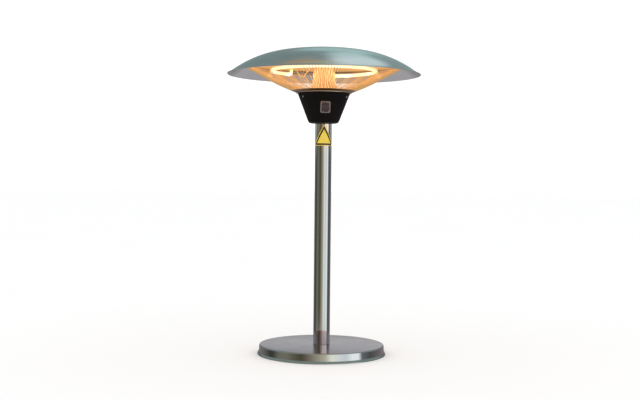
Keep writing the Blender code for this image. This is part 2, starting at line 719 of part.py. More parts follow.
def build_socket(floor_holes):
    """The casting that joins the pole to the housing: a spigot in the pole and a flange on the floor."""
    flange_low = HOUSING_FLOOR_TOP + GAP
    flange_top = flange_low + SOCKET_FLANGE_THICKNESS
    spigot = POLE_BORE - GAP
    bore = spigot - SOCKET_WALL
    profile = [(bore, flange_top), (SOCKET_FLANGE_RADIUS, flange_top), (SOCKET_FLANGE_RADIUS, flange_low)]
    spigot_low = flange_low - SOCKET_DEPTH
    profile += [(spigot, flange_low), (spigot, spigot_low), (bore, spigot_low)]
    socket = turning("pole_socket", profile, cast_aluminium(), 30)
    cut(socket, floor_holes)
    length = SOCKET_FLANGE_THICKNESS + HOUSING_FLOOR
    mesh = screw_mesh("socket_screw", 0.0030, 0.0020, SMALL_SCREW_RADIUS, length, zinc())
    for i, a in enumerate(OTHER_THIRDS):
        seat = around(SOCKET_SCREW_CIRCLE, a, flange_top + GAP)
        set_screw(f"socket_screw_{i + 1}", mesh, seat, (0, 0, 1))

    height = HOUSING_BOTTOM - LOCK_SCREW_DROP
    rod = [((0, -spigot + SOCKET_WALL * 0.7, height), (0, -POLE_RADIUS * 1.5, height))]
    hole = rod_cutter("lock_screw_hole", 0.0016 + GAP, rod, 8)
    cut(socket, hole)
    cut(bpy.data.objects["pole"], hole)
    mesh = screw_mesh("pole_lock_screw", 0.0022, 0.0014, 0.0016, POLE_WALL + 0.0020, black_plastic())
    set_screw("pole_lock_screw", mesh, (0, -POLE_RADIUS - GAP, height), (0, -1, 0))


def build_top_plate(side_holes, inner_shift):
    """The steel plate that closes the housing and carries the column and the guard."""
    skirt_low = HOUSING_TOP - TOP_PLATE_SKIRT
    inside_top = HOUSING_TOP_RADIUS - inner_shift - GAP
    inside_low = housing_radius(skirt_low) - inner_shift - GAP
    wall = 0.0012
    profile = [(TOP_PLATE_HOLE_RADIUS, PLATE_TOP), (PLATE_RADIUS, PLATE_TOP), (PLATE_RADIUS, PLATE_BOTTOM)]
    profile += [(inside_top, PLATE_BOTTOM), (inside_low, skirt_low), (inside_low - wall, skirt_low)]
    profile += [(inside_top - wall, PLATE_BOTTOM), (TOP_PLATE_HOLE_RADIUS, PLATE_BOTTOM)]
    plate = turning("housing_top_plate", profile, zinc(), 40)
    cut(plate, side_holes)
    low, high = PLATE_BOTTOM - 0.01, COLUMN_BOTTOM + 0.01
    rods = [(around(COLUMN_SCREW_CIRCLE, a, low), around(COLUMN_SCREW_CIRCLE, a, high)) for a in THIRDS]
    holes = rod_cutter("column_screw_holes", SMALL_SCREW_RADIUS + GAP, rods, 8)
    cut(plate, holes)
    build_column(holes)
    length = TOP_PLATE_THICKNESS + 0.0018
    mesh = screw_mesh("column_screw", 0.0030, 0.0020, SMALL_SCREW_RADIUS, length, zinc())
    for i, a in enumerate(THIRDS):
        seat = around(COLUMN_SCREW_CIRCLE, a, PLATE_BOTTOM - GAP)
        set_screw(f"column_screw_{i + 1}", mesh, seat, (0, 0, -1))


def build_housing_screws(screw_height):
    radius = housing_radius(screw_height)
    mesh = screw_mesh("housing_screw", 0.0032, 0.0015, SMALL_SCREW_RADIUS, 0.0050, zinc())
    for i, a in enumerate(THIRDS):
        out = Vector((math.cos(a), math.sin(a), 0))
        set_screw(f"housing_screw_{i + 1}", mesh, around(radius + 0.0016, a, screw_height), out)
    mesh = screw_mesh("panel_screw", 0.0022, 0.0010, 0.0012, 0.0050, black_plastic())
    seat = (0, -housing_radius(PANEL_SCREW_HEIGHT) - 0.0014, PANEL_SCREW_HEIGHT)
    set_screw("panel_screw", mesh, seat, (0, -1, 0))


# ---------------------------------------------------------------- switch
def panel_frame():
    """The switch's own frame: X across, Y up its panel, and Z straight out of it."""
    frame = add_object("switch_panel_frame", None)
    frame.location = (0, -housing_radius(SWITCH_HEIGHT) - 0.0003, SWITCH_HEIGHT)
    frame.rotation_euler = (math.pi / 2 + HOUSING_SLOPE, 0, 0)
    return frame


def build_switch(panel):
    body_top = -GAP
    middle = (0, 0, body_top - SWITCH_BODY_DEPTH / 2)
    body_size = (SWITCH_BODY_WIDTH, SWITCH_BODY_LENGTH, SWITCH_BODY_DEPTH)
    body = box("switch_body", body_size, middle, black_plastic(), panel)
    pocket_size = (ROCKER_WIDTH + 0.0006, 2 * ROCKER_RADIUS + 0.0010, 2 * ROCKER_POCKET_DEPTH)
    cut(body, as_cutter(box("rocker_pocket", pocket_size, (0, 0, body_top), black_plastic(), panel)))
    reach = ROCKER_WIDTH / 2 + 0.0019
    hole = [((-reach, 0, -ROCKER_PIVOT_DEPTH - GAP), (reach, 0, -ROCKER_PIVOT_DEPTH - GAP))]
    hole_radius = (ROCKER_PIN_RADIUS + RUNNING) / math.cos(math.pi / 20)
    cut(body, rod_cutter("rocker_pin_hole", hole_radius, hole, 20, panel))

    outside = rounded_outline(BEZEL_WIDTH, BEZEL_LENGTH, BEZEL_CORNER)
    bezel = outline_solid("switch_bezel", outside, GAP, BEZEL_DEPTH, grey_plastic(), panel)
    window = rounded_outline(BEZEL_WINDOW_WIDTH, BEZEL_WINDOW_LENGTH, 0.0030)
    cut(bezel, as_cutter(outline_solid("bezel_window", window, -0.01, 0.02, grey_plastic(), panel)))

    boot_width = BEZEL_WINDOW_WIDTH - 2 * GAP
    boot_length = BEZEL_WINDOW_LENGTH - 2 * GAP
    boot = loft("switch_boot", boot_width, boot_length, BOOT_RISE, smoky_silicone(), panel)
    inside = loft("boot_inside", boot_width - 2 * BOOT_THICKNESS, boot_length - 2 * BOOT_THICKNESS,
                  BOOT_RISE - BOOT_THICKNESS, smoky_silicone(), panel, -0.001)
    cut(boot, as_cutter(inside))
    build_rocker(panel)


def loft(name, width, length, rise, mat, parent, start=GAP):
    """A cushion shape: straight sides for half its height, then drawn in to a flat top."""
    levels = ((start, 0.0), (rise * 0.55, 0.0), (rise * 0.85, 0.0008), (rise, 0.0028))
    bm = bmesh.new()
    rings = []
    for height, inset in levels:
        outline = rounded_outline(width - 2 * inset, length - 2 * inset, 0.0030, 2)
        rings.append([bm.verts.new((x, y, height)) for x, y in outline])
    count = len(rings[0])
    for lower, upper in zip(rings, rings[1:]):
        for i in range(count):
            k = (i + 1) % count
            bm.faces.new([lower[i], lower[k], upper[k], upper[i]])
    bm.faces.new(rings[0])
    bm.faces.new(rings[-1])
    return object_from(name, bm, mat, parent)


def build_rocker(panel):
    """The rocker, tipped to its lower stop. Its origin is on its pivot."""
    steps = 8
    low = math.radians(200)
    under = [(ROCKER_RADIUS * math.cos(a), max(ROCKER_RADIUS * math.sin(a), -0.0045))
             for a in (low + (math.radians(340) - low) * i / steps for i in range(steps + 1))]
    lip = math.sqrt(ROCKER_RADIUS**2 - 0.0032**2)
    outline = [(lip, 0.0032), (0.0, 0.0016), (-lip, 0.0032)] + under
    bm = bmesh.new()
    left = bm.faces.new([bm.verts.new((-ROCKER_WIDTH / 2, y, z)) for y, z in outline])
    grown = bmesh.ops.extrude_face_region(bm, geom=[left])
    moved = [v for v in grown["geom"] if isinstance(v, bmesh.types.BMVert)]
    bmesh.ops.translate(bm, vec=(ROCKER_WIDTH, 0, 0), verts=moved)
    rocker = object_from("switch_rocker", bm, red_plastic(), panel)
    reach = ROCKER_WIDTH / 2 + 0.0014
    pin = rod_cutter("rocker_pin", ROCKER_PIN_RADIUS, [((-reach, 0, 0), (reach, 0, 0))], 20, rocker)
    join(rocker, pin)
    rocker.location = (0, 0, -ROCKER_PIVOT_DEPTH - GAP)
    rocker.rotation_euler = (-ROCKER_TILT, 0, 0)


# ---------------------------------------------------------------- column, hood and reflector
def build_column(screw_holes):
    """The polished tube that carries the hood. Its flared foot is closed by an inward flange."""
    foot = COLUMN_BOTTOM
    outer = [(COLUMN_RADIUS, COLUMN_TOP), (COLUMN_RADIUS, foot + 0.075)]
    outer += [(COLUMN_WAIST_RADIUS, foot + 0.046)]
    outer += [(COLUMN_WAIST_RADIUS + 0.0010, foot + 0.036), (COLUMN_WAIST_RADIUS + 0.0042, foot + 0.026)]
    outer += [(COLUMN_FOOT_RADIUS - 0.0050, foot + 0.0145), (COLUMN_FOOT_RADIUS - 0.0012, foot + 0.004)]
    outer += [(COLUMN_FOOT_RADIUS, foot)]
    wall = 0.0012
    flange = 0.0020
    inner = [(COLUMN_SCREW_CIRCLE - 0.0050, foot), (COLUMN_SCREW_CIRCLE - 0.0050, foot + flange)]
    inner += [(COLUMN_FOOT_RADIUS - 0.0032, foot + flange), (COLUMN_FOOT_RADIUS - 0.0064, foot + 0.0145)]
    inner += [(COLUMN_WAIST_RADIUS + 0.0028, foot + 0.026), (COLUMN_WAIST_RADIUS - wall, foot + 0.046)]
    inner += [(COLUMN_RADIUS - wall, COLUMN_TOP)]
    column = turning("centre_column", outer + inner, bright_steel(), 32)
    cut(column, screw_holes)


def build_hood_plate(hood_holes):
    """The dished plate on the column's top that the hood is screwed to."""
    sheet = 0.0015
    low = COLUMN_TOP + GAP
    rim_in = HOOD_PLATE_RADIUS - 0.0140
    under = hood_underside(HOOD_PLATE_RADIUS)
    under_in = hood_underside(rim_in)
    hole = 0.0140
    top = [(hole, low + sheet), (HOOD_PLATE_FLAT_RADIUS, low + sheet)]
    top += [(rim_in, under_in), (HOOD_PLATE_RADIUS, under)]
    bottom = [(HOOD_PLATE_RADIUS, under - sheet), (rim_in + 0.0010, under_in - sheet)]
    bottom += [(HOOD_PLATE_FLAT_RADIUS + 0.0010, low), (hole, low)]
    plate = turning("hood_plate", top + bottom, plain_steel(), 28)
    cut(plate, hood_holes)
    a = LAMP_GAP_DIRECTION
    height = low + sheet + 0.0048
    rod = [(around(0.028, a, height), around(0.090, a, height))]
    cut(plate, rod_cutter("lead_exit", 0.0040, rod, 12))


def build_hood():
    line = hood_outer_line()
    rim = (HOOD_RADIUS - HEM_RADIUS, rim_height() + HEM_RADIUS)
    under = [(r, hood_underside(r) + DOME_ROOM) for r, _ in reversed(line[1:])]
    outer = line + arc(rim, HEM_RADIUS, math.radians(70), math.radians(-140), 3)
    profile = outer + under + [(0, HOOD_TOP - SHEET)]
    hood = turning("hood", profile, hood_steel(), 48, False)
    low, high = HOOD_TOP - 0.030, HOOD_TOP + 0.02
    rods = [(around(HOOD_SCREW_CIRCLE, a, low), around(HOOD_SCREW_CIRCLE, a, high)) for a in THIRDS]
    holes = rod_cutter("hood_screw_holes", 0.0018 + GAP, rods, 8)
    cut(hood, holes)
    build_hood_plate(holes)
    mesh = screw_mesh("hood_screw", 0.0042, 0.0014, 0.0018, 0.0070, zinc())
    seat = hood_height(HOOD_SCREW_CIRCLE - 0.0042) + GAP
    for i, a in enumerate(THIRDS):
        set_screw(f"hood_screw_{i + 1}", mesh, around(HOOD_SCREW_CIRCLE, a, seat), (0, 0, 1))


def build_reflector():
    inner = COLUMN_RADIUS + GAP
    steps = 4
    radii = [inner + (reflector_radius() - inner) * i / steps for i in range(steps + 1)]
    top = [(r, reflector_height(r)) for r in radii]
    bottom = [(r, z - REFLECTOR_SHEET) for r, z in reversed(top)]
    reflector = turning("reflector", top + bottom, bright_steel(), 40)
    rods = [(place, place + Vector((0, 0, 2 * (HOOD_TOP - LAMP_HEIGHT)))) for place in lamp_ends()]
    cut(reflector, rod_cutter("lamp_cap_holes", CAP_RADIUS + 2 * GAP, rods, 14))


# ---------------------------------------------------------------- guard
def build_guard():
    """Radial wires between a foot ring and a top ring, as one closed lattice."""
    foot, knee, bend, ring, top = guard_line()
    bm = bmesh.new()
    lift = Vector((0, 0, GUARD_WIRE / 2))
    pitch = 2 * math.pi / GUARD_WIRES

    def loop(point, angles):
        skins = []
        for side in (-1, 1):
            skins.append([bm.verts.new(around(point.x, a, point.y) + lift * side) for a in angles])
        return skins

    def wire_angles(radius):
        half = GUARD_WIRE / 2 / radius
        return [pitch * i + side for i in range(GUARD_WIRES) for side in (-half, half)]

    coarse = [pitch * (2 * i + 0.5) for i in range(GUARD_WIRES // 2)]
    rows = [loop(p, wire_angles(p.x)) for p in (knee, bend, ring)]
    edges = [loop(foot, coarse), loop(top, coarse)]
    count = 2 * GUARD_WIRES
    for lower, upper in zip(rows, rows[1:]):
        for i in range(0, count, 2):
            low_in, low_out = lower
            up_in, up_out = upper
            for skin_low, skin_up in ((low_in, up_in), (low_out, up_out)):
                bm.faces.new([skin_low[i], skin_low[i + 1], skin_up[i + 1], skin_up[i]])
            for k in (i, i + 1):
                bm.faces.new([low_in[k], low_out[k], up_out[k], up_in[k]])
    for row, edge in ((rows[0], edges[0]), (rows[-1], edges[1])):
        for skin, rim in zip(row, edge):
            for j in range(GUARD_WIRES // 2):
                near = [skin[(4 * j + k) % count] for k in range(5)]
                far = rim[j]
                following = rim[(j + 1) % len(rim)]
                for a, b in zip(near[:2], near[1:3]):
                    bm.faces.new([a, b, far])
                bm.faces.new([near[2], following, far])
                for a, b in zip(near[2:4], near[3:5]):
                    bm.faces.new([a, b, following])
        for j in range(GUARD_WIRES // 2):
            k = (j + 1) % (GUARD_WIRES // 2)
            bm.faces.new([edge[0][j], edge[0][k], edge[1][k], edge[1][j]])
        for i in range(1, count, 2):
            k = (i + 1) % count
            bm.faces.new([row[0][i], row[0][k], row[1][k], row[1][i]])
    object_from("wire_guard", bm, bright_steel(), None, math.radians(50))


# ---------------------------------------------------------------- lamp
def lamp_ends():
    """Where the tube's two ends stand, either side of the gap in the ring."""
    spread = math.asin(LAMP_END_SPREAD / LAMP_RADIUS)
    return [around(LAMP_RADIUS, LAMP_GAP_DIRECTION + side * spread, LAMP_HEIGHT) for side in (1, -1)]


def build_lamp():
    spread = math.asin((LAMP_END_SPREAD + LAMP_BEND_RADIUS) / LAMP_RADIUS)
    start = LAMP_GAP_DIRECTION + spread
    sweep = 2 * math.pi - 2 * spread
    steps = 36
    ring = [around(LAMP_RADIUS, start + sweep * i / steps, LAMP_HEIGHT) for i in range(steps + 1)]
    ends = lamp_ends()
    route = [ends[0] + Vector((0, 0, CAP_SEAT))]
    corner_steps = 3
    for first, last, index in ((ends[0], ring[0], 0), (ring[-1], ends[1], 1)):
        flat = last - first if index == 0 else first - last
        base = ends[index]
        for i in range(corner_steps + 1):
            a = math.pi / 2 * i / corner_steps
            a = a if index == 0 else math.pi / 2 - a
            sideways = flat * (1 - math.cos(a))
            point = base + sideways + Vector((0, 0, LAMP_BEND_RADIUS * (1 - math.sin(a))))
            route.append(point)
        if index == 0:
            route += ring[1:-1]
    route.append(ends[1] + Vector((0, 0, CAP_SEAT)))
    round_wire("lamp_tube", route, LAMP_TUBE_RADIUS, glowing_quartz(), 2)

    cap_low, cap_top = lamp_cap_heights()
    length = cap_top - cap_low
    outline = [(0, length), (CAP_RADIUS, length), (CAP_RADIUS, 0), (0, 0)]
    for i, place in enumerate(ends):
        cap = turning(f"lamp_cap_{i + 1}", outline, ceramic(), 20, False)
        cap.location = (place.x, place.y, cap_low)
    build_clips()
    build_bracket()


def turn_to(obj, angle):
    """Turns a piece made in the plane of X and Z so that its X runs outwards at an angle."""
    obj.rotation_euler = (0, 0, angle)


def build_clips():
    """Two hangers under the reflector that the ring lies in."""
    half = LAMP_TUBE_RADIUS + STRAP_THICKNESS / 2 + 3 * GAP
    low = LAMP_HEIGHT - half
    reach_out = LAMP_RADIUS + half + 0.010
    reach_in = LAMP_RADIUS - half - 0.010
    hang = REFLECTOR_SHEET + STRAP_THICKNESS / 2 + 2 * GAP
    inner, outer = LAMP_RADIUS - half, LAMP_RADIUS + half
    line = [(reach_in, reflector_height(reach_in) - hang), (inner, reflector_height(inner) - hang)]
    line += [(inner, low), (outer, low)]
    line += [(outer, reflector_height(outer) - hang), (reach_out, reflector_height(reach_out) - hang)]
    for i, a in enumerate(CLIP_DIRECTIONS):
        clip = strap(f"lamp_clip_{i + 1}", line, STRAP_THICKNESS, STRAP_WIDTH, bright_steel())
        turn_to(clip, a)


def build_bracket():
    """The V-shaped strap between the lamp's two ends."""
    top = reflector_height(LAMP_RADIUS + STRAP_WIDTH / 2) - REFLECTOR_SHEET - STRAP_THICKNESS / 2 - 4 * GAP
    low = LAMP_HEIGHT - LAMP_TUBE_RADIUS
    half = LAMP_END_SPREAD - CAP_RADIUS - STRAP_THICKNESS - GAP
    line = [(-half * 0.6, top), (-half, top), (-half * 0.15, low)]
    line += [(-x, z) for x, z in reversed(line)]
    bracket = strap("lamp_bracket", line, STRAP_THICKNESS, STRAP_WIDTH, bright_steel())
    turn_to(bracket, LAMP_GAP_DIRECTION + math.pi / 2)
    bracket.location = around(LAMP_RADIUS, LAMP_GAP_DIRECTION, 0)


# ---------------------------------------------------------------- inside the housing
def build_inner_parts():
    hang = PLATE_BOTTOM - GAP
    floor = HOUSING_FLOOR_TOP + GAP + SOCKET_FLANGE_THICKNESS + GAP
    block_size = (0.030, 0.011, 0.013)
    box("terminal_block", block_size, (0, 0.0285, floor + block_size[2] / 2), ceramic())
    cutout = [(0, 0), (0.0095, 0), (0.0095, -0.0015), (0.0070, -0.0015), (0.0070, -0.0085), (0, -0.0085)]
    thermal = turning("thermal_cutout", cutout, brass(), 20, False)
    thermal.location = (-0.034, 0.006, hang)

    top = hang
    low = top - TILT_HEIGHT
    middle = (0, TILT_CENTRE_Y, (top + low) / 2)
    case = box("tilt_switch_case", (TILT_WIDTH, TILT_DEPTH, TILT_HEIGHT), middle, black_plastic())
    inner_size = (TILT_WIDTH - 2 * TILT_WALL, TILT_DEPTH - 2 * TILT_WALL, TILT_HEIGHT)
    inner_middle = (middle[0], middle[1], middle[2] - TILT_WALL)
    cut(case, as_cutter(box("tilt_cavity", inner_size, inner_middle, black_plastic())))
    axis_height = top - TILT_PIN_DROP
    span = TILT_DEPTH / 2 - TILT_WALL * 0.4
    ends = [((0, TILT_CENTRE_Y - span, axis_height), (0, TILT_CENTRE_Y + span, axis_height))]
    cut(case, rod_cutter("tilt_pin_hole", TILT_PIN_RADIUS + GAP, ends, 16))
    pin_half = span - GAP
    outline = [(0, pin_half), (TILT_PIN_RADIUS, pin_half), (TILT_PIN_RADIUS, -pin_half), (0, -pin_half)]
    pin = turning("tilt_pin", outline, zinc(), 16, False)
    pin.location = (0, TILT_CENTRE_Y, axis_height)
    pin.rotation_euler = (math.pi / 2, 0, 0)
    build_pendulum(axis_height)

    size = (0.020, 0.006, 0.0100)
    y = TILT_CENTRE_Y + TILT_DEPTH / 2 + GAP + size[1] / 2
    box("micro_switch", size, (0, y, top - 0.006 - size[2] / 2), black_plastic())
    build_leads(floor + block_size[2] + GAP)


def build_pendulum(axis_height):
    """The weight that hangs on the pin: an eye, a stem and a round bob. Its origin is on the pin."""
    thickness = 0.0046
    eye = 0.0026
    stem = 0.0013
    drop = PENDULUM_LENGTH
    bob = PENDULUM_BOB_RADIUS
    eye_join = math.asin(stem / eye)
    bob_join = math.asin(stem / bob)
    outline = arc((0, 0), eye, -math.pi / 2 + eye_join, 3 * math.pi / 2 - eye_join, 10)
    outline += arc((0, -drop), bob, math.pi / 2 + bob_join, 5 * math.pi / 2 - bob_join, 14)
    pendulum = outline_solid("tilt_pendulum", outline, -thickness / 2, thickness / 2, brass())
    hole = [((0, 0, -0.01), (0, 0, 0.01))]
    radius = (TILT_PIN_RADIUS + RUNNING) / math.cos(math.pi / 16)
    cut(pendulum, rod_cutter("pendulum_eye", radius, hole, 16, pendulum))
    pendulum.location = (0, TILT_CENTRE_Y, axis_height)
    pendulum.rotation_euler = (math.pi / 2, 0, 0)


def build_leads(block_top):
    """Heat-proof leads: two up through the column to the lamp's ends, and two to the switch."""
    lead_end = lamp_cap_heights()[1] + GAP + LEAD_RADIUS
    turn_height = COLUMN_TOP + GAP + 0.0015 + 0.0048
    for i, (place, side) in enumerate(zip(lamp_ends(), (1, -1))):
        aside = 0.0018 * side
        a = LAMP_GAP_DIRECTION
        across = Vector((-math.sin(a), math.cos(a), 0)) * aside
        out = Vector((math.cos(a), math.sin(a), 0))
        stations = [
            Vector((-0.007 * side, 0.0285, block_top + LEAD_RADIUS)),
            Vector((-0.006 * side, 0.0180, block_top + 0.018)),
            across + Vector((0, 0, PLATE_BOTTOM)),
            across + Vector((0, 0, PLATE_BOTTOM + 0.060)),
            across + Vector((0, 0, turn_height - 0.012)),
            across + out * 0.010 + Vector((0, 0, turn_height - 0.001)),
            across + out * 0.030 + Vector((0, 0, turn_height)),
            across + out * 0.060 + Vector((0, 0, turn_height - 0.001)),
            across * 3 + out * 0.120 + Vector((0, 0, (lead_end + turn_height) / 2 - 0.002)),
            Vector((place.x, place.y, lead_end)) - out * 0.001,
        ]
        round_wire(f"lamp_lead_{i + 1}", smooth_route(stations, 2), LEAD_RADIUS, fibreglass())
    back = SWITCH_BODY_DEPTH + GAP
    drop = math.sin(HOUSING_SLOPE)
    reach = math.cos(HOUSING_SLOPE)
    radius = housing_radius(SWITCH_HEIGHT)
    for i, side in enumerate((1, -1)):
        behind = back + 0.003
        start = Vector((0.006 * side, -radius + behind * reach, SWITCH_HEIGHT + behind * drop))
        stations = [
            start,
            start + Vector((0.001 * side, 0.010, 0.003)),
            Vector((0.0130 * side, 0.0100, block_top + 0.012)),
            Vector((0.0115 * side, 0.0250, block_top + 0.006)),
            Vector((0.0115 * side, 0.0285, block_top + LEAD_RADIUS)),
        ]
        round_wire(f"switch_lead_{i + 1}", smooth_route(stations, 2), LEAD_RADIUS, fibreglass())


clear_scene()
build_foot()
build_pole()
build_gland()
build_label()
build_housing()
build_hood()
build_reflector()
build_guard()
build_lamp()
build_inner_parts()
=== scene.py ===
"""Looks of the patio heater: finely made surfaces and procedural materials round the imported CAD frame."""

import math

import bmesh
import bpy
from mathutils import Matrix, Vector


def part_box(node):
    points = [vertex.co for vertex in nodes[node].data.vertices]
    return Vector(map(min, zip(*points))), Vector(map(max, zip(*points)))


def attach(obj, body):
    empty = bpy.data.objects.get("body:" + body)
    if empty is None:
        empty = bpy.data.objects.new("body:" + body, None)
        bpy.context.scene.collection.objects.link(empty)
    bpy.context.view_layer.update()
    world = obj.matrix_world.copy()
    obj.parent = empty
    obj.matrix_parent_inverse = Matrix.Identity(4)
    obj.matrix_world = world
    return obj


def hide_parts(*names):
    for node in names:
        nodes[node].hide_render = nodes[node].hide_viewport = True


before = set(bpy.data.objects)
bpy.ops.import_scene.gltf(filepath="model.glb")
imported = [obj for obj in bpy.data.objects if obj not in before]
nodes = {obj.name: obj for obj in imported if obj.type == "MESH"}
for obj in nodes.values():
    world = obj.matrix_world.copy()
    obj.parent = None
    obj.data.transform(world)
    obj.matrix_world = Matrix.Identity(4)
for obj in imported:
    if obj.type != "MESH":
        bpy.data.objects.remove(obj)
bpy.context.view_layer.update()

# clearance between neighbours in metres, steps round a turned piece, smooth below this angle in degrees
GAP = 0.0003
ROUND_STEPS = 192
SMOOTH_ANGLE = 38
# directions of the three screws of a ring, in degrees
THIRDS = (90, 210, 330)

# heights and radii of the CAD, in metres
POLE_RADIUS, POLE_WALL = 0.0254, 0.0015
POLE_BOTTOM, POLE_TOP = 0.0303, 0.7085
BUSH_HEIGHT = 0.075
LOCK_SCREW_HEIGHT = 0.7015
STICKER_HALF_WIDTH, STICKER_CORNER, STICKER_PEAK = 0.0345, 0.0045, 0.003
FOOT_HEIGHT = 0.030
FOOT_TOP_RADIUS = 0.1906
FOOT_SKIRT_RADIUS = 0.1925
HOUSING_BOTTOM, HOUSING_TOP = 0.7055, 0.7965
HOUSING_BOTTOM_RADIUS, HOUSING_TOP_RADIUS = 0.0451, 0.0802
HOUSING_WALL, HOUSING_FLOOR, HOUSING_ROUND = 0.0025, 0.003, 0.0092
HOUSING_SCREW_DROP, PANEL_SCREW_RISE = 0.0120, 0.0230
HOUSING_SLOPE = math.atan2(HOUSING_TOP_RADIUS - HOUSING_BOTTOM_RADIUS, HOUSING_TOP - HOUSING_BOTTOM)
PLATE_BOTTOM, PLATE_TOP = 0.7968, 0.7983
PLATE_RADIUS = 0.0852
COLUMN_BOTTOM, COLUMN_TOP = 0.7986, 0.9185
COLUMN_RADIUS = 0.0335
HOOD_TOP = 0.9338
HOOD_RADIUS = 0.295
RIM_HEIGHT = 0.8525
CROWN_RADIUS, SHOULDER_RADIUS = 0.8373, 0.3385
CROWN_ANGLE = math.radians(9.3)
BRIM_WIDTH = 0.0086
HEM_RADIUS = 0.0011
HOOD_SCREW_RADIUS = 0.056
SHEET = 0.0008
REFLECTOR_RADIUS, REFLECTOR_EDGE, REFLECTOR_DISH = 0.236, 0.8869, 0.020
LAMP_RADIUS, LAMP_TUBE_RADIUS, LAMP_HEIGHT = 0.158, 0.005, 0.865
LAMP_GAP_DIRECTION = math.radians(111.5)
LAMP_END_SPREAD = 0.0420
LAMP_BEND, LAMP_STUB, LAMP_CAP_RADIUS = 0.0080, 0.004, 0.0060
SWITCH_HEIGHT = 0.7518
CAMERA_TURN = math.radians(-4.4)


# ---------------------------------------------------------------- meshes
def add_object(name, mesh):
    obj = bpy.data.objects.new(name, mesh)
    bpy.context.scene.collection.objects.link(obj)
    return obj


def object_from(name, bm, material, sharp=SMOOTH_ANGLE):
    bmesh.ops.recalc_face_normals(bm, faces=bm.faces)
    mesh = bpy.data.meshes.new(name)
    bm.to_mesh(mesh)
    bm.free()
    mesh.materials.append(material)
    mesh.shade_smooth()
    mesh.set_sharp_from_angle(angle=math.radians(sharp))
    return add_object(name, mesh)


def place(obj, slot, *replaced, body="heater"):
    """Says what a finished piece moves with and the CAD nodes that it stands for. The slot argument is not used.
    """
    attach(obj, body)
    if replaced:
        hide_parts(*replaced)
    return obj


def around(radius, angle, height):
    return Vector((radius * math.cos(angle), radius * math.sin(angle), height))


def eased(points, radius, closed=True, steps=4):
    """A line of points in a plane with each corner rounded by up to this radius."""
    rounded = []
    for i, point in enumerate(points):
        if not closed and i in (0, len(points) - 1):
            rounded.append(tuple(point))
            continue
        here = Vector(point)
        back = Vector(points[i - 1]) - here
        ahead = Vector(points[(i + 1) % len(points)]) - here
        reach = min(radius, back.length * 0.45, ahead.length * 0.45)
        start = here + back.normalized() * reach
        end = here + ahead.normalized() * reach
        for k in range(steps + 1):
            t = k / steps
            rounded.append(tuple(start * (1 - t) ** 2 + here * 2 * t * (1 - t) + end * t * t))
    return rounded


def spin(bm, outline, steps=ROUND_STEPS, closed=True, matrix=None):
    """Turns (radius, height) points about Z. An open outline starts and ends on the axis."""
    rings = []
    for radius, height in outline:
        count = 1 if radius < 1e-7 else steps
        ring = []
        for i in range(count):
            point = around(radius, 2 * math.pi * i / steps, height)
            ring.append(bm.verts.new(matrix @ point if matrix else point))
        rings.append(ring)
    pairs = list(zip(rings, rings[1:]))
    if closed:
        pairs.append((rings[-1], rings[0]))
    for upper, lower in pairs:
        for i in range(steps):
            k = (i + 1) % steps
            corners = [upper[i % len(upper)], upper[k % len(upper)]]
            corners += [lower[k % len(lower)], lower[i % len(lower)]]
            bm.faces.new(list(dict.fromkeys(corners)))


def turning(name, outline, material, steps=ROUND_STEPS, closed=True, matrix=None):
    bm = bmesh.new()
    spin(bm, outline, steps, closed, matrix)
    return object_from(name, bm, material)


def arc(centre, radius, start, end, steps):
    """Points of an arc in a plane, its angles in degrees."""
    angles = [math.radians(start + (end - start) * i / steps) for i in range(steps + 1)]
    return [(centre[0] + radius * math.cos(a), centre[1] + radius * math.sin(a)) for a in angles]


def bridge(bm, low, high):
    """Joins two rings with as many points by a band of faces."""
    for i in range(len(low)):
        k = (i + 1) % len(low)
        bm.faces.new([low[i], low[k], high[k], high[i]])


def loft(bm, rings, closed_ring=False):
    """Joins each ring to the next. It caps both ends, or joins them into a ring."""
    for low, high in zip(rings, rings[1:]):
        bridge(bm, low, high)
    if closed_ring:
        bridge(bm, rings[-1], rings[0])
    else:
        bm.faces.new(rings[0])
        bm.faces.new(rings[-1])


def sweep(bm, line, section):
    """Carries a closed flat section along a line without twist, and closes both ends."""
    tangents = []
    for i in range(len(line)):
        ahead = line[min(i + 1, len(line) - 1)] - line[max(i - 1, 0)]
        tangents.append(ahead.normalized())
    side = tangents[0].orthogonal().normalized()
    rings = []
    for point, tangent in zip(line, tangents):
        side = (side - tangent * side.dot(tangent)).normalized()
        up = tangent.cross(side)
        rings.append([bm.verts.new(point + side * x + up * y) for x, y in section])
    loft(bm, rings)


def circle(radius, sides):
    angles = [2 * math.pi * i / sides for i in range(sides)]
    return [(radius * math.cos(a), radius * math.sin(a)) for a in angles]


def rounded_outline(width, length, corner, steps=8):
    points = []
    for sx, sy, quarter in ((1, 1, 0), (-1, 1, 1), (-1, -1, 2), (1, -1, 3)):
        centre = (sx * (width / 2 - corner), sy * (length / 2 - corner))
        points += arc(centre, corner, quarter * 90, (quarter + 1) * 90, steps)
    return points


def stacked(bm, levels, matrix, closed_ring=False):
    """Joins outlines of equal length, each at its height, as loft does."""
    rings = []
    for outline, height in levels:
        rings.append([bm.verts.new(matrix @ Vector((x, y, height))) for x, y in outline])
    loft(bm, rings, closed_ring)


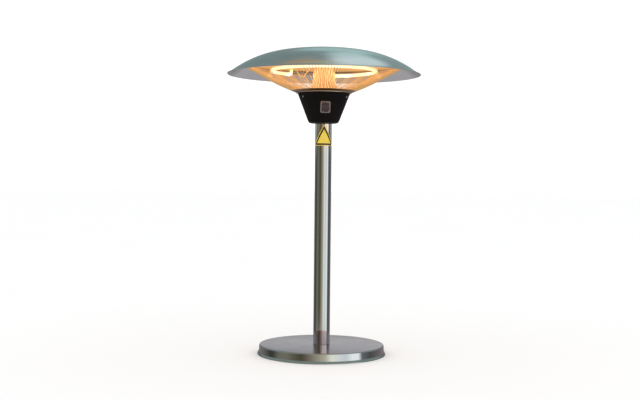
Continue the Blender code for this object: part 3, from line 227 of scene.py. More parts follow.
def strip(name, line, thickness, width, material, matrix):
    """A flat strip bent along a line in X and Z, its width along Y, with softened edges."""
    sides = ([], [])
    for i, point in enumerate(line):
        here = Vector(point)
        into = (here - Vector(line[i - 1])).normalized() if i else None
        out = (Vector(line[i + 1]) - here).normalized() if i + 1 < len(line) else None
        into = into or out
        out = out or into
        middle = (into + out).normalized()
        normal = Vector((-middle.y, middle.x)) * (thickness / 2 / max(0.5, middle.dot(out)))
        sides[0].append(here + normal)
        sides[1].append(here - normal)
    bevel = thickness * 0.3
    bm = bmesh.new()
    rows = []
    for upper, lower in zip(*sides):
        inward = (lower - upper).normalized() * bevel
        half = width / 2
        loop = [(upper, -half + bevel), (upper + inward, -half), (lower - inward, -half), (lower, -half + bevel)]
        loop += [(lower, half - bevel), (lower - inward, half), (upper + inward, half), (upper, half - bevel)]
        rows.append([bm.verts.new(matrix @ Vector((p.x, y, p.y))) for p, y in loop])
    loft(bm, rows)
    return object_from(name, bm, material)


def combine(target, other, operation):
    """Applies an exact Boolean to the target's mesh and removes the other object."""
    modifier = target.modifiers.new("combine", "BOOLEAN")
    modifier.operation = operation
    modifier.object = other
    modifier.solver = "EXACT"
    graph = bpy.context.evaluated_depsgraph_get()
    made = bpy.data.meshes.new_from_object(target.evaluated_get(graph))
    target.modifiers.clear()
    target.data = made
    bpy.data.objects.remove(other, do_unlink=True)


# ---------------------------------------------------------------- shapes shared with the CAD
def hood_height(radius):
    crown_centre = HOOD_TOP - CROWN_RADIUS
    offset = CROWN_RADIUS - SHOULDER_RADIUS
    if radius < CROWN_RADIUS * math.sin(CROWN_ANGLE):
        return crown_centre + math.sqrt(CROWN_RADIUS**2 - radius**2)
    inside = radius - offset * math.sin(CROWN_ANGLE)
    return crown_centre + offset * math.cos(CROWN_ANGLE) + math.sqrt(SHOULDER_RADIUS**2 - inside**2)


def hood_slope(radius):
    return (hood_height(radius + 0.0005) - hood_height(max(0.0, radius - 0.0005))) / 0.001


def reflector_height(radius):
    inner = COLUMN_RADIUS + GAP
    top = COLUMN_TOP - GAP
    share = (radius - inner) / (REFLECTOR_RADIUS - inner)
    return top + (REFLECTOR_EDGE - top) * share + REFLECTOR_DISH * share * (1 - share)


def housing_radius(height):
    return HOUSING_TOP_RADIUS - (HOUSING_TOP - height) * math.tan(HOUSING_SLOPE)


# ---------------------------------------------------------------- materials
def linear(*rgb):
    """A colour written as on a screen, 0 to 255, as scene-linear light."""
    return tuple(c / 255 / 12.92 if c <= 10 else ((c / 255 + 0.055) / 1.055) ** 2.4 for c in rgb)


def opaque(*rgb):
    return (*linear(*rgb), 1)


class Nodes:
    """A node tree while it is being built."""

    def __init__(self, tree):
        self.tree = tree

    def node(self, kind, operation=None, **inputs):
        made = self.tree.nodes.new(kind)
        if operation:
            made.operation = operation
        return self.feed(made, **inputs)

    def feed(self, made, **inputs):
        """Sets inputs by name or number (i0, i1), each to a value or linked to another node's output."""
        for key, value in inputs.items():
            numbered = key[0] == "i" and key[1:].isdigit()
            socket = made.inputs[int(key[1:]) if numbered else key.replace("_", " ")]
            if isinstance(value, bpy.types.NodeSocket):
                self.tree.links.new(value, socket)
            else:
                socket.default_value = value
        return made

    def noise(self, vector, scale, detail=2.0):
        made = self.node("ShaderNodeTexNoise", Vector=vector, Scale=scale, Detail=detail)
        return made.outputs["Fac"]

    def ramp(self, factor, *stops):
        made = self.node("ShaderNodeValToRGB", Fac=factor)
        elements = made.color_ramp.elements
        while len(elements) < len(stops):
            elements.new(0.5)
        for element, (position, colour) in zip(elements, stops):
            element.position = position
            element.color = (*colour, 1)
        return made.outputs["Color"]

    def spread(self, factor, low, high, from_low=0.3, from_high=0.7):
        made = self.node("ShaderNodeMapRange", Value=factor)
        for i, value in enumerate((from_low, from_high, low, high)):
            made.inputs[i + 1].default_value = value
        return made.outputs["Result"]

    def math(self, operation, *values):
        made = self.node("ShaderNodeMath", operation, **{f"i{i}": v for i, v in enumerate(values)})
        return made.outputs[0]

    def mix(self, factor, lower, upper, kind="MIX"):
        made = self.node("ShaderNodeMix")
        made.data_type = "RGBA"
        made.blend_type = kind
        return self.feed(made, Factor=factor, i6=lower, i7=upper).outputs[2]


class Look(Nodes):
    """A procedural material while it is being built."""

    def __init__(self, name, metallic=0.0, **constants):
        self.material = bpy.data.materials.new(name)
        self.material.use_nodes = True
        super().__init__(self.material.node_tree)
        self.shader = self.tree.nodes["Principled BSDF"]
        self.feed(self.shader, Metallic=metallic, **constants)

    def link(self, out, socket):
        self.tree.links.new(out, self.shader.inputs[socket])

    def where(self):
        """Object coordinates, in metres."""
        return self.node("ShaderNodeTexCoord").outputs["Object"]

    def axes(self):
        return self.node("ShaderNodeSeparateXYZ", Vector=self.where()).outputs

    def place(self, stretch=(1, 1, 1)):
        """Object coordinates stretched along each axis."""
        return self.node("ShaderNodeMapping", Vector=self.where(), Scale=stretch).outputs["Vector"]

    def rings(self):
        """Coordinates that only change with the distance from the Z axis and with height."""
        x, y, z = self.axes()
        flat = self.node("ShaderNodeCombineXYZ", X=x, Y=y)
        radius = self.node("ShaderNodeVectorMath", "LENGTH", i0=flat.outputs[0])
        return self.node("ShaderNodeCombineXYZ", X=radius.outputs["Value"], Y=z).outputs[0]

    def bump(self, height, strength, distance):
        made = self.node("ShaderNodeBump", Height=height, Strength=strength, Distance=distance)
        return made.outputs["Normal"]


def tones(colour, mottle):
    """A darker and a lighter tone of a colour."""
    return tuple(c * (1 - mottle) for c in colour), tuple(min(1.0, c * (1 + mottle)) for c in colour)


def varied(look, vector, colour, mottle, scale, roughness, rough_spread):
    """Colour and roughness that drift a little over the surface."""
    drift = look.noise(vector, scale, 3.0)
    dark, light = tones(colour, mottle)
    look.link(look.ramp(drift, (0.3, dark), (0.7, light)), "Base Color")
    smudges = look.noise(vector, scale * 2.7, 4.0)
    look.link(look.spread(smudges, roughness - rough_spread, roughness + rough_spread), "Roughness")


def plain_look(name, colour, roughness, metallic=0.0, mottle=0.08, scale=60, grain=900, bump=0.15, depth=0.0001,
               rough_spread=0.05, stretch=(1, 1, 1), **constants):
    """An even finish with slight drift of colour and roughness, and a fine grain."""
    look = Look(name, metallic, **constants)
    vector = look.place(stretch)
    varied(look, vector, colour, mottle, scale, roughness, rough_spread)
    look.link(look.bump(look.noise(vector, grain, 2.0), bump, depth), "Normal")
    return look.material


def spun_look(name, colour, roughness, mottle=0.05, ring_scale=900, bump=0.12, depth=0.00006, rough_spread=0.05,
              glow=None):
    """Turned metal: fine rings round the axis, broken up by faint smudges."""
    look = Look(name, 1.0)
    rings = look.noise(look.rings(), ring_scale, 4.0)
    vector = look.place()
    drift = look.noise(vector, 9.0, 3.0)
    mixed = look.math("ADD", look.math("MULTIPLY", rings, 0.45), look.math("MULTIPLY", drift, 0.55))
    dark, light = tones(colour, mottle)
    look.link(look.ramp(mixed, (0.35, dark), (0.65, light)), "Base Color")
    smudges = look.noise(vector, 26.0, 4.0)
    rough = look.math("ADD", look.spread(smudges, roughness - rough_spread, roughness + rough_spread),
                      look.spread(rings, -0.03, 0.03))
    look.link(rough, "Roughness")
    look.link(look.bump(rings, bump, depth), "Normal")
    if glow:
        glow(look)
    return look.material


def column_look():
    """Polished tube in the light of the ring lamp: fine lengthwise streaks, with a thin pale one at the front. Its
    warm tint and its glow, stronger lower down and along the pale streaks, are painted lamp light.
    """
    look = Look("column_steel_painted_lamp_glow", 1.0)
    x, y, z = look.axes()
    turn = look.math("ARCTAN2", y, x)
    waves = look.math("SINE", look.math("MULTIPLY", turn, 27.0))
    drift = look.noise(look.place((1, 1, 0.15)), 60, 2.0)
    mixed = look.math("ADD", look.math("MULTIPLY", waves, 0.28), drift)
    # warm tint of painted lamp light; the streaks are polish marks, with painted reflection on their pale parts
    look.link(look.ramp(mixed, (0.25, linear(222, 176, 124)), (0.75, linear(255, 232, 184))), "Base Color")
    look.link(look.spread(drift, 0.24, 0.34), "Roughness")
    # painted lamp light: a glow that is stronger lower down and along the pale streaks
    lower = look.spread(z, 1.25, 0.55, 0.80, 0.88)
    look.link(look.math("MULTIPLY", look.spread(mixed, 0.20, 0.42, 0.25, 0.75), lower), "Emission Strength")
    look.feed(look.shader, Emission_Color=opaque(255, 228, 178))
    look.link(look.bump(look.noise(look.rings(), 1100, 4.0), 0.05, 0.00006), "Normal")
    return look.material


def wire_look():
    """Bright wire with a warm tint and a glow of painted lamp light, strongest on the side that faces the middle
    of the guard.
    """
    look = Look("wire_steel_painted_lamp_glow", 1.0)
    vector = look.place()
    # the wire's warm tint is painted lamp light
    varied(look, vector, linear(216, 172, 124), 0.10, 90, 0.24, 0.05)
    look.link(look.bump(look.noise(vector, 1400), 0.05, 0.0001), "Normal")
    middle = look.node("ShaderNodeVectorMath", "SUBTRACT", i0=(0.0, 0.0, 0.88), i1=vector)
    inward = look.node("ShaderNodeVectorMath", "NORMALIZE", i0=middle.outputs[0])
    normal = look.node("ShaderNodeNewGeometry").outputs["Normal"]
    facing = look.node("ShaderNodeVectorMath", "DOT_PRODUCT", i0=normal, i1=inward.outputs[0])
    # painted lamp light: a glow on the side that faces the middle of the guard
    look.link(look.spread(facing.outputs["Value"], 0.26, 0.80, -0.1, 0.7), "Emission Strength")
    look.feed(look.shader, Emission_Color=opaque(255, 200, 116))
    return look.material


HOOD_STEEL = spun_look("hood_steel_spun", linear(214, 216, 214), 0.20, 0.02, 700, 0.05)
POLE_STEEL = plain_look("pole_steel_polished", linear(232, 230, 228), 0.07, 1.0, 0.03, 30, 1500, 0.02, 0.00004,
                        0.02, (1, 1, 0.05))
COLUMN_STEEL = column_look()
PLATE_STEEL = spun_look("plate_steel_turned", linear(205, 200, 194), 0.22, 0.05, 1400, 0.10)
WIRE_STEEL = wire_look()
# the dark brown of the guard's rings is painted shade, for the shaded band at the guard's foot
RING_STEEL = spun_look("guard_ring_dark_painted_shade", linear(112, 84, 66), 0.34, 0.10, 900, 0.10)
# the straps' warm colour and their glow are painted lamp light
STRAP_STEEL = plain_look("strap_steel_painted_lamp_glow", linear(244, 226, 176), 0.42, 1.0, 0.06, 120, 1600, 0.06,
                         Emission_Color=opaque(255, 205, 96), Emission_Strength=0.35)
PLAIN_STEEL = plain_look("plain_steel_rolled", linear(150, 150, 152), 0.38, 1.0, 0.10, 60, 700, 0.12, 0.0001,
                         0.08, (1, 6, 1))
RIM_STEEL = spun_look("foot_rim_rolled", linear(196, 196, 192), 0.18, 0.05, 900, 0.05)
ZINC = plain_look("zinc_plating", linear(186, 190, 196), 0.34, 1.0, 0.14, 350, 2600, 0.10, 0.00005, 0.10)
DARK_SCREW = plain_look("blackened_screw", linear(52, 50, 50), 0.42, 0.8, 0.15, 300, 2600, 0.10)
CONCRETE = plain_look("cast_concrete", linear(148, 145, 138), 0.88, 0.0, 0.22, 70, 420, 0.6, 0.0006, 0.06)
CAST_ALUMINIUM = plain_look("cast_aluminium_skin", linear(168, 170, 172), 0.52, 1.0, 0.10, 160, 1300, 0.35,
                            0.0002, 0.08)
RUBBER = plain_look("black_rubber_moulded", linear(30, 29, 30), 0.72, 0.0, 0.25, 120, 1500, 0.30, 0.0001, 0.10)
PLASTIC = plain_look("black_plastic_spark_textured", linear(15, 10, 9), 0.50, 0.0, 0.18, 140, 2300, 0.45,
                     0.00012, 0.06, Specular_IOR_Level=0.10)
GREY_PLASTIC = plain_look("grey_plastic_satin", linear(122, 110, 103), 0.40, 0.0, 0.08, 200, 2400, 0.30)
RED_PLASTIC = plain_look("red_plastic_glossy", linear(132, 44, 56), 0.22, 0.0, 0.08, 150, 1800, 0.08,
                         Coat_Weight=0.3)
CERAMIC = plain_look("fired_ceramic", linear(196, 166, 122), 0.55, 0.0, 0.10, 180, 1500, 0.35)
BRASS = plain_look("drawn_brass", linear(206, 170, 96), 0.30, 1.0, 0.10, 140, 1500, 0.12)
SLEEVE = plain_look("woven_glass_sleeve", linear(224, 216, 192), 0.80, 0.0, 0.16, 1800, 2600, 0.9, 0.0003, 0.06)


def silicone_look():
    look = Look("smoky_silicone_boot", 0.0, IOR=1.41, Transmission_Weight=0.88)
    vector = look.place()
    varied(look, vector, linear(146, 126, 136), 0.06, 120, 0.24, 0.05)
    look.link(look.bump(look.noise(vector, 900, 2.0), 0.05, 0.00005), "Normal")
    return look.material


def quartz_look():
    """The lit tube: near white along its middle, more golden where it cools towards its ends."""
    look = Look("glowing_quartz_tube", 0.0)
    vector = look.place()
    flicker = look.noise(vector, 55, 2.0)
    glow = look.ramp(flicker, (0.3, (1.0, 0.78, 0.48)), (0.7, (1.0, 0.86, 0.58)))
    look.link(glow, "Emission Color")
    look.link(glow, "Base Color")
    height = look.node("ShaderNodeSeparateXYZ", Vector=vector).outputs["Z"]
    look.link(look.spread(height, 1.15, 0.30, LAMP_HEIGHT + 0.005, LAMP_HEIGHT + 0.011), "Emission Strength")
    look.link(look.spread(flicker, 0.15, 0.3), "Roughness")
    return look.material


def reflector_glow(look):
    """Painted lamp light: a glow that stands in for the light the reflector throws down, strongest above the lamp.
    """
    where = look.rings()
    radius = look.node("ShaderNodeSeparateXYZ", Vector=where).outputs["X"]
    away = look.math("ABSOLUTE", look.math("SUBTRACT", radius, 0.150))
    fade = look.spread(away, 0.86, 0.68, 0.0, 0.11)
    shimmer = look.spread(look.noise(look.place(), 34, 3.0), 0.92, 1.08)
    look.link(look.math("MULTIPLY", fade, shimmer), "Emission Strength")
    look.feed(look.shader, Emission_Color=opaque(226, 172, 108))


# the reflector's glow is painted lamp light
REFLECTOR_STEEL = spun_look("reflector_polished_painted_glow", linear(196, 152, 104), 0.30, 0.05, 500, 0.10,
                            glow=reflector_glow)
SILICONE = silicone_look()
QUARTZ = quartz_look()


def foot_look():
    """Satin on top, polished round the edge. The top's darker mauve tone and the pink specular tint are painted
    reflection.
    """
    # the pink specular tint is painted reflection
    look = Look("foot_steel_satin_polished_painted_reflection", 1.0, Specular_Tint=(0.95, 0.88, 0.93, 1))
    height = look.axes()["Z"]
    rings = look.noise(look.rings(), 1100, 4.0)
    vector = look.place()
    drift = look.noise(vector, 8.0, 3.0)
    share = look.spread(height, 0.0, 1.0, FOOT_HEIGHT - 0.0030, FOOT_HEIGHT - 0.0004)
    mixed = look.math("ADD", share, look.spread(drift, -0.06, 0.06))
    # painted reflection: the top darker and mauve
    look.link(look.ramp(mixed, (0.0, linear(236, 234, 232)), (1.0, linear(182, 166, 176))), "Base Color")
    on_top = look.spread(share, 0.07, 0.15, 0.0, 1.0)
    smudges = look.spread(look.noise(vector, 24.0, 4.0), -0.02, 0.03)
    look.link(look.math("ADD", on_top, smudges), "Roughness")
    look.link(look.bump(rings, 0.06, 0.00005), "Normal")
    return look.material


def sticker_look(low, height, half_width, border):
    """Yellow film with a black line just inside its three sides, and nothing printed within."""
    look = Look("yellow_film_bordered", 0.0, Coat_Weight=0.25, Coat_Roughness=0.25)
    x, y, z = look.axes()
    turn = look.math("ARCTAN2", x, look.math("MULTIPLY", y, -1.0))
    along = look.math("ABSOLUTE", look.math("MULTIPLY", turn, POLE_RADIUS + GAP))
    rise = look.math("SUBTRACT", z, low)
    length = math.hypot(height, half_width)
    nx, nz = height / length, half_width / length
    reach = look.math("ADD", look.math("MULTIPLY", along, nx), look.math("MULTIPLY", rise, nz))
    to_side = look.math("SUBTRACT", height * nz, reach)
    nearest = look.math("MINIMUM", to_side, rise)
    inner = look.math("GREATER_THAN", nearest, border)
    outer = look.math("LESS_THAN", nearest, border * 0.26)
    inside = look.math("MAXIMUM", inner, outer)
    wear = look.noise(look.place(), 420, 3.0)
    yellow = look.ramp(wear, (0.3, linear(226, 196, 62)), (0.7, linear(244, 216, 84)))
    black = look.ramp(wear, (0.3, linear(20, 18, 16)), (0.7, linear(34, 31, 28)))
    look.link(look.mix(inside, black, yellow), "Base Color")
    look.link(look.spread(wear, 0.30, 0.46), "Roughness")
    look.link(look.bump(wear, 0.1, 0.00005), "Normal")
    return look.material


# ---------------------------------------------------------------- screws
def cross_screw(name, head_radius, head_height, seat, out, material, slot, *replaced):
    """A low round head with a cross recess, facing out from its seat."""
    matrix = Matrix.Translation(seat) @ Vector(out).to_track_quat("Z", "Y").to_matrix().to_4x4()
    outline = [(0, head_height)]
    for i in range(1, 9):
        a = math.radians(90 * i / 8)
        outline.append((head_radius * math.sin(a), head_height * (0.35 + 0.65 * math.cos(a))))
    outline += [(head_radius, 0), (head_radius * 0.4, 0), (head_radius * 0.4, -head_height), (0, -head_height)]
    head = turning(name, outline, material, 32, False, matrix)
    arm, reach = head_radius * 0.16, head_radius * 0.62
    for turn in (0, math.pi / 2):
        slot_shape = [(-arm, -reach), (arm, -reach), (arm, reach), (-arm, reach)]
        bm = bmesh.new()
        turned = matrix @ Matrix.Rotation(turn + 0.4, 4, "Z")
        stacked(bm, [(slot_shape, head_height * 0.45), (slot_shape, head_height * 1.5)], turned)
        combine(head, object_from("recess", bm, material), "DIFFERENCE")
    head.data.set_sharp_from_angle(angle=math.radians(SMOOTH_ANGLE))
    return place(head, slot, *replaced)


# ---------------------------------------------------------------- foot and pole
def build_foot():
    lean = (FOOT_SKIRT_RADIUS - FOOT_TOP_RADIUS) / FOOT_HEIGHT
    bend, sheet, skirt_end, hub = 0.0035, 0.0010, 0.0034, 0.030
    centre = (FOOT_TOP_RADIUS - bend, FOOT_HEIGHT - bend)
    outer = [(hub, FOOT_HEIGHT)] + arc(centre, bend, 90, 0, 10)
    outer += [(FOOT_SKIRT_RADIUS - lean * skirt_end, skirt_end)]
    inner = [(FOOT_SKIRT_RADIUS - lean * skirt_end - sheet, skirt_end)]
    inner += arc(centre, bend - sheet, 0, 90, 6)
    inner += [(hub, FOOT_HEIGHT - sheet)]
    outline = [(0, FOOT_HEIGHT)] + outer + inner + [(0, FOOT_HEIGHT - sheet)]
    cover = turning("foot_cover", outline, foot_look(), 256, False)
    place(cover, "foot_steel", "base_cover")

    rim = [(0.1928, 0.0075), (0.1940, 0.0075), (0.1961, 0.0012), (0.1961, 0.0), (0.1907, 0.0), (0.1907, 0.0031)]
    rim += [(0.1928, 0.0031)]
    trim = turning("foot_rim", eased(rim, 0.0008), RIM_STEEL, 256)
    place(trim, "foot_steel", "base_edge_trim")

    hole, edge, thickness = 0.0245, 0.1875, 0.0030
    groove = ((0.0, 0.0), (0.0012, 0.0008), (0.0032, 0.0008), (0.0044, 0.0))
    mat = [(hole, thickness), (edge, thickness), (edge, 0.0)]
    radius, smallest, spacing = 0.180, 0.045, 0.022
    while radius > smallest:
        mat += [(radius - inward, depth) for inward, depth in groove]
        radius -= spacing
    mat += [(hole, 0.0)]
    pad = turning("foot_mat", mat, RUBBER, 128)
    place(pad, "black_rubber", "base_pad")


def build_pole():
    bore = POLE_RADIUS - POLE_WALL
    wall = [(bore, POLE_TOP), (POLE_RADIUS, POLE_TOP), (POLE_RADIUS, POLE_BOTTOM), (bore, POLE_BOTTOM)]
    tube = turning("pole_tube", eased(wall, 0.0004), POLE_STEEL, 128)
    place(tube, "pole_steel", "pole")
    build_bush()
    build_sticker()
    seat = (0, -POLE_RADIUS - GAP, LOCK_SCREW_HEIGHT)
    cross_screw("pole_screw_head", 0.0022, 0.0014, seat, (0, -1, 0), DARK_SCREW, "dark_screw",
                "pole_lock_screw")


def build_bush():
    """The rubber bush of the cable inlet, shaped to the back of the pole."""
    face, collar, neck, bore = POLE_RADIUS + 0.0042, 0.0090, 0.0062, 0.0040
    inside, outside = POLE_RADIUS - POLE_WALL, POLE_RADIUS + GAP
    tail = inside - 0.0062
    # radius of each ring, then either its flat depth or the radius of the pole's skin that it lies on
    stations = [(bore, face - 0.0008, None), (bore + 0.0007, face, None), (0.0082, face, None)]
    stations += [(collar, face - 0.0003, None), (0.0098, face - 0.0010, None), (0.0103, face - 0.0021, None)]
    stations += [(0.0105, None, outside), (neck, None, outside), (neck, None, inside - GAP)]
    stations += [(collar, None, inside - GAP), (collar, tail, None), (bore, tail, None)]
    bm = bmesh.new()
    rings = []
    for radius, flat, curved in stations:
        ring = []
        for x, z in circle(radius, 64):
            y = flat if flat is not None else math.sqrt(curved**2 - x**2)
            ring.append(bm.verts.new((x, y, BUSH_HEIGHT + z)))
        rings.append(ring)
    loft(bm, rings, True)
    bush = object_from("inlet_bush", bm, RUBBER)
    place(bush, "black_rubber", "cable_gland")


def build_sticker():
    """A blank three-cornered sticker with rounded corners, wrapped round the pole."""
    low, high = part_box("pole_label")
    bottom, height = low.z, high.z - low.z
    border, thickness, narrowest = 0.0068, 0.00025, 0.0004
    triangle = [(-STICKER_HALF_WIDTH, bottom), (STICKER_HALF_WIDTH, bottom), (0.0, bottom + height + STICKER_PEAK)]
    outline = [Vector(point) for point in eased(triangle, STICKER_CORNER, True, 6)]
    rows, columns = 46, 40
    heights = [bottom + height * i / rows for i in range(rows + 1)]
    spans = []
    for z in heights:
        level = min(max(z, bottom + 1e-6), bottom + height - 1e-6)
        crossings = []
        for a, b in zip(outline, outline[1:] + outline[:1]):
            if (a.y - level) * (b.y - level) < 0:
                crossings.append(a.x + (b.x - a.x) * (level - a.y) / (b.y - a.y))
        spans.append(max([abs(x) for x in crossings] + [narrowest]))
    bm = bmesh.new()
    skins = []
    for radius in (POLE_RADIUS + GAP, POLE_RADIUS + GAP + thickness):
        skin = []
        for z, span in zip(heights, spans):
            angles = [-math.pi / 2 + (2 * k / columns - 1) * span / POLE_RADIUS for k in range(columns + 1)]
            skin.append([bm.verts.new(around(radius, a, z)) for a in angles])
        skins.append(skin)
    borders = []
    for skin in skins:
        for i in range(rows):
            for k in range(columns):
                bm.faces.new([skin[i][k], skin[i][k + 1], skin[i + 1][k + 1], skin[i + 1][k]])
        edge = skin[0][:] + [row[-1] for row in skin[1:]]
        borders.append(edge + skin[-1][-2::-1] + [row[0] for row in skin[-2:0:-1]])
    bridge(bm, *borders)
    film = sticker_look(bottom, height + STICKER_PEAK, STICKER_HALF_WIDTH, border)
    sticker = object_from("pole_sticker", bm, film)
    place(sticker, "yellow_film", "pole_label")


# ---------------------------------------------------------------- control housing and switch
# the plane of the switch panel: X across, Y up its slope, Z out of it
PANEL = (Matrix.Translation((0, -housing_radius(SWITCH_HEIGHT) - 0.0003, SWITCH_HEIGHT))
         @ Matrix.Rotation(math.pi / 2 + HOUSING_SLOPE, 4, "X"))


def build_housing():
    start = HOUSING_BOTTOM + HOUSING_ROUND
    centre = housing_radius(start) - 0.0009 - HOUSING_ROUND
    hole = POLE_RADIUS + GAP
    inner_shift = HOUSING_WALL / math.cos(HOUSING_SLOPE)
    outer = [(HOUSING_TOP_RADIUS, HOUSING_TOP), (housing_radius(start), start)]
    outer += arc((centre, start), HOUSING_ROUND, -10, -90, 14)
    outer += [(hole, HOUSING_BOTTOM)]
    inner = [(hole, HOUSING_BOTTOM + HOUSING_FLOOR), (centre, HOUSING_BOTTOM + HOUSING_FLOOR)]
    inner += [(housing_radius(start + 0.001) - inner_shift, start + 0.001)]
    inner += [(HOUSING_TOP_RADIUS - inner_shift, HOUSING_TOP)]
    shell = turning("housing_shell", outer + inner, PLASTIC, 160)
    bm = bmesh.new()
    pad = rounded_outline(0.0335, 0.0400, 0.0040)
    soft = rounded_outline(0.0329, 0.0394, 0.0037)
    stacked(bm, [(pad, -0.0090), (pad, -0.0004), (soft, 0.0)], PANEL)
    combine(shell, object_from("housing_panel", bm, PLASTIC), "UNION")
    bm = bmesh.new()
    opening = rounded_outline(0.0241, 0.0291, 0.0008, 2)
    stacked(bm, [(opening, -0.0250), (opening, 0.0050)], PANEL)
    combine(shell, object_from("housing_opening", bm, PLASTIC), "DIFFERENCE")
    shell.data.set_sharp_from_angle(angle=math.radians(30))
    place(shell, "black_plastic", "control_housing")

    height = HOUSING_TOP - HOUSING_SCREW_DROP
    for i, turn in enumerate(THIRDS):
        a = math.radians(turn)
        seat = around(housing_radius(height) + 0.0003, a, height)
        tilt = Vector((math.cos(a), math.sin(a), 0))
        cross_screw(f"housing_screw_head_{i + 1}", 0.0032, 0.0024, seat, tilt, ZINC, "zinc_plated",
                    f"housing_screw_{i + 1}")
    height = HOUSING_BOTTOM + PANEL_SCREW_RISE
    seat = (0, -housing_radius(height) - 0.0010, height)
    cross_screw("panel_screw_head", 0.0022, 0.0013, seat, (0, -1, 0), DARK_SCREW, "dark_screw",
                "panel_screw")
    build_plate(inner_shift)
    build_switch()


def build_plate(inner_shift):
    """The steel plate that closes the housing."""
    hole, sheet = 0.0150, 0.0012
    inside = HOUSING_TOP_RADIUS - inner_shift - GAP
    skirt_low = HOUSING_TOP - 0.0190
    low = housing_radius(skirt_low) - inner_shift - GAP
    outline = [(hole, PLATE_TOP), (PLATE_RADIUS, PLATE_TOP), (PLATE_RADIUS, PLATE_BOTTOM), (inside, PLATE_BOTTOM)]
    outline += [(low, skirt_low), (low - sheet, skirt_low), (inside - sheet, PLATE_BOTTOM), (hole, PLATE_BOTTOM)]
    plate = turning("plate_disc", eased(outline, 0.0005), PLATE_STEEL)
    place(plate, "zinc_plated", "housing_top_plate")


def build_switch():
    # width, length, corner and height of each level, up the outside and down the inside
    sizes = [
        (0.0300, 0.0360, 0.0045, 0.0003), (0.0300, 0.0360, 0.0045, 0.0022), (0.0294, 0.0354, 0.0042, 0.0029),
        (0.0280, 0.0340, 0.0036, 0.0032), (0.0237, 0.0302, 0.0034, 0.0032), (0.0227, 0.0292, 0.0030, 0.0027),
        (0.0225, 0.0290, 0.0030, 0.0003),
    ]
    bm = bmesh.new()
    stacked(bm, [(rounded_outline(*size), height) for *size, height in sizes], PANEL, True)
    bezel = object_from("switch_frame", bm, GREY_PLASTIC)
    place(bezel, "grey_plastic", "switch_bezel")

    width, length, wall = 0.0219, 0.0284, 0.0007
    # height and inset of each level of the boot's outside, from its foot to its flat top
    profile = [(0.0003, 0.0), (0.0035, 0.0), (0.0050, 0.0003), (0.0061, 0.0010), (0.0068, 0.0022)]
    profile += [(0.0072, 0.0042)]
    levels = []
    for height, inset in profile:
        size = (width - 2 * inset, length - 2 * inset, max(0.0012, 0.0030 - inset * 0.2))
        levels.append((rounded_outline(*size), height))
    for height, inset in reversed(profile):
        shift = inset + wall
        size = (width - 2 * shift, length - 2 * shift, max(0.0010, 0.0026 - inset * 0.2))
        levels.append((rounded_outline(*size), max(0.0003, height - wall)))
    bm = bmesh.new()
    rings = []
    for outline, height in levels:
        rings.append([bm.verts.new(PANEL @ Vector((x, y, height))) for x, y in outline])
    for index, (low, high) in enumerate(zip(rings, rings[1:] + rings[:1])):
        if index == len(profile) - 1:
            bm.faces.new(low)
            bm.faces.new(high)
        else:
            bridge(bm, low, high)
    boot = object_from("switch_cover", bm, SILICONE, 60)
    place(boot, "smoky_silicone", "switch_boot")
    build_rocker()


def build_rocker():
    """The rocker's paddle, tipped to its lower stop, on its pin."""
    radius, half, bevel, pin_radius, pin_end = 0.0120, 0.00925, 0.0006, 0.0011, 0.0014
    lowest, waist, lip_height, pivot_depth, tilt = -0.0045, 0.0016, 0.0032, 0.0015, -10
    outline = [(radius * math.cos(math.radians(a)), max(radius * math.sin(math.radians(a)), lowest))
               for a in range(200, 341, 10)]
    lip = math.sqrt(radius**2 - lip_height**2)
    top = [(lip * (1 - 2 * i / 12), waist + waist * abs(1 - 2 * i / 12) ** 1.5) for i in range(13)]
    outline = eased(top + outline, 0.0009, True, 2)
    matrix = PANEL @ Matrix.Translation((0, 0, -pivot_depth)) @ Matrix.Rotation(math.radians(tilt), 4, "X")
    bm = bmesh.new()
    centre = Vector((0.0, -0.0005))
    rows = []
    for x, shrink in ((-half, 0.93), (-half + bevel, 1.0), (half - bevel, 1.0), (half, 0.93)):
        row = []
        for y, z in outline:
            point = centre + (Vector((y, z)) - centre) * shrink
            row.append(bm.verts.new(matrix @ Vector((x, point.x, point.y))))
        rows.append(row)
    loft(bm, rows)
    pin = [Vector((-half - pin_end, 0, 0)), Vector((half + pin_end, 0, 0))]
    sweep(bm, [matrix @ p for p in pin], circle(pin_radius, 20))
    paddle = object_from("rocker_paddle", bm, RED_PLASTIC)
    place(paddle, "red_plastic", "switch_rocker", body="rocker")


# ---------------------------------------------------------------- column, hood and reflector
def build_column():
    foot = COLUMN_BOTTOM
    outer = [(COLUMN_RADIUS, COLUMN_TOP), (COLUMN_RADIUS, foot + 0.075), (0.0330, foot + 0.046)]
    outer += [(0.0340, foot + 0.036), (0.0372, foot + 0.026), (0.0440, foot + 0.0145), (0.0478, foot + 0.004)]
    outer += [(0.0490, foot)]
    inner = [(0.0365, foot), (0.0365, foot + 0.002), (0.0458, foot + 0.002), (0.0426, foot + 0.0145)]
    inner += [(0.0358, foot + 0.026), (0.0318, foot + 0.046), (0.0323, COLUMN_TOP)]
    outline = eased(outer, 0.012, False, 6) + eased(inner, 0.0005, False, 2)
    column = turning("column_tube", outline, COLUMN_STEEL)
    place(column, "bright_steel", "centre_column")


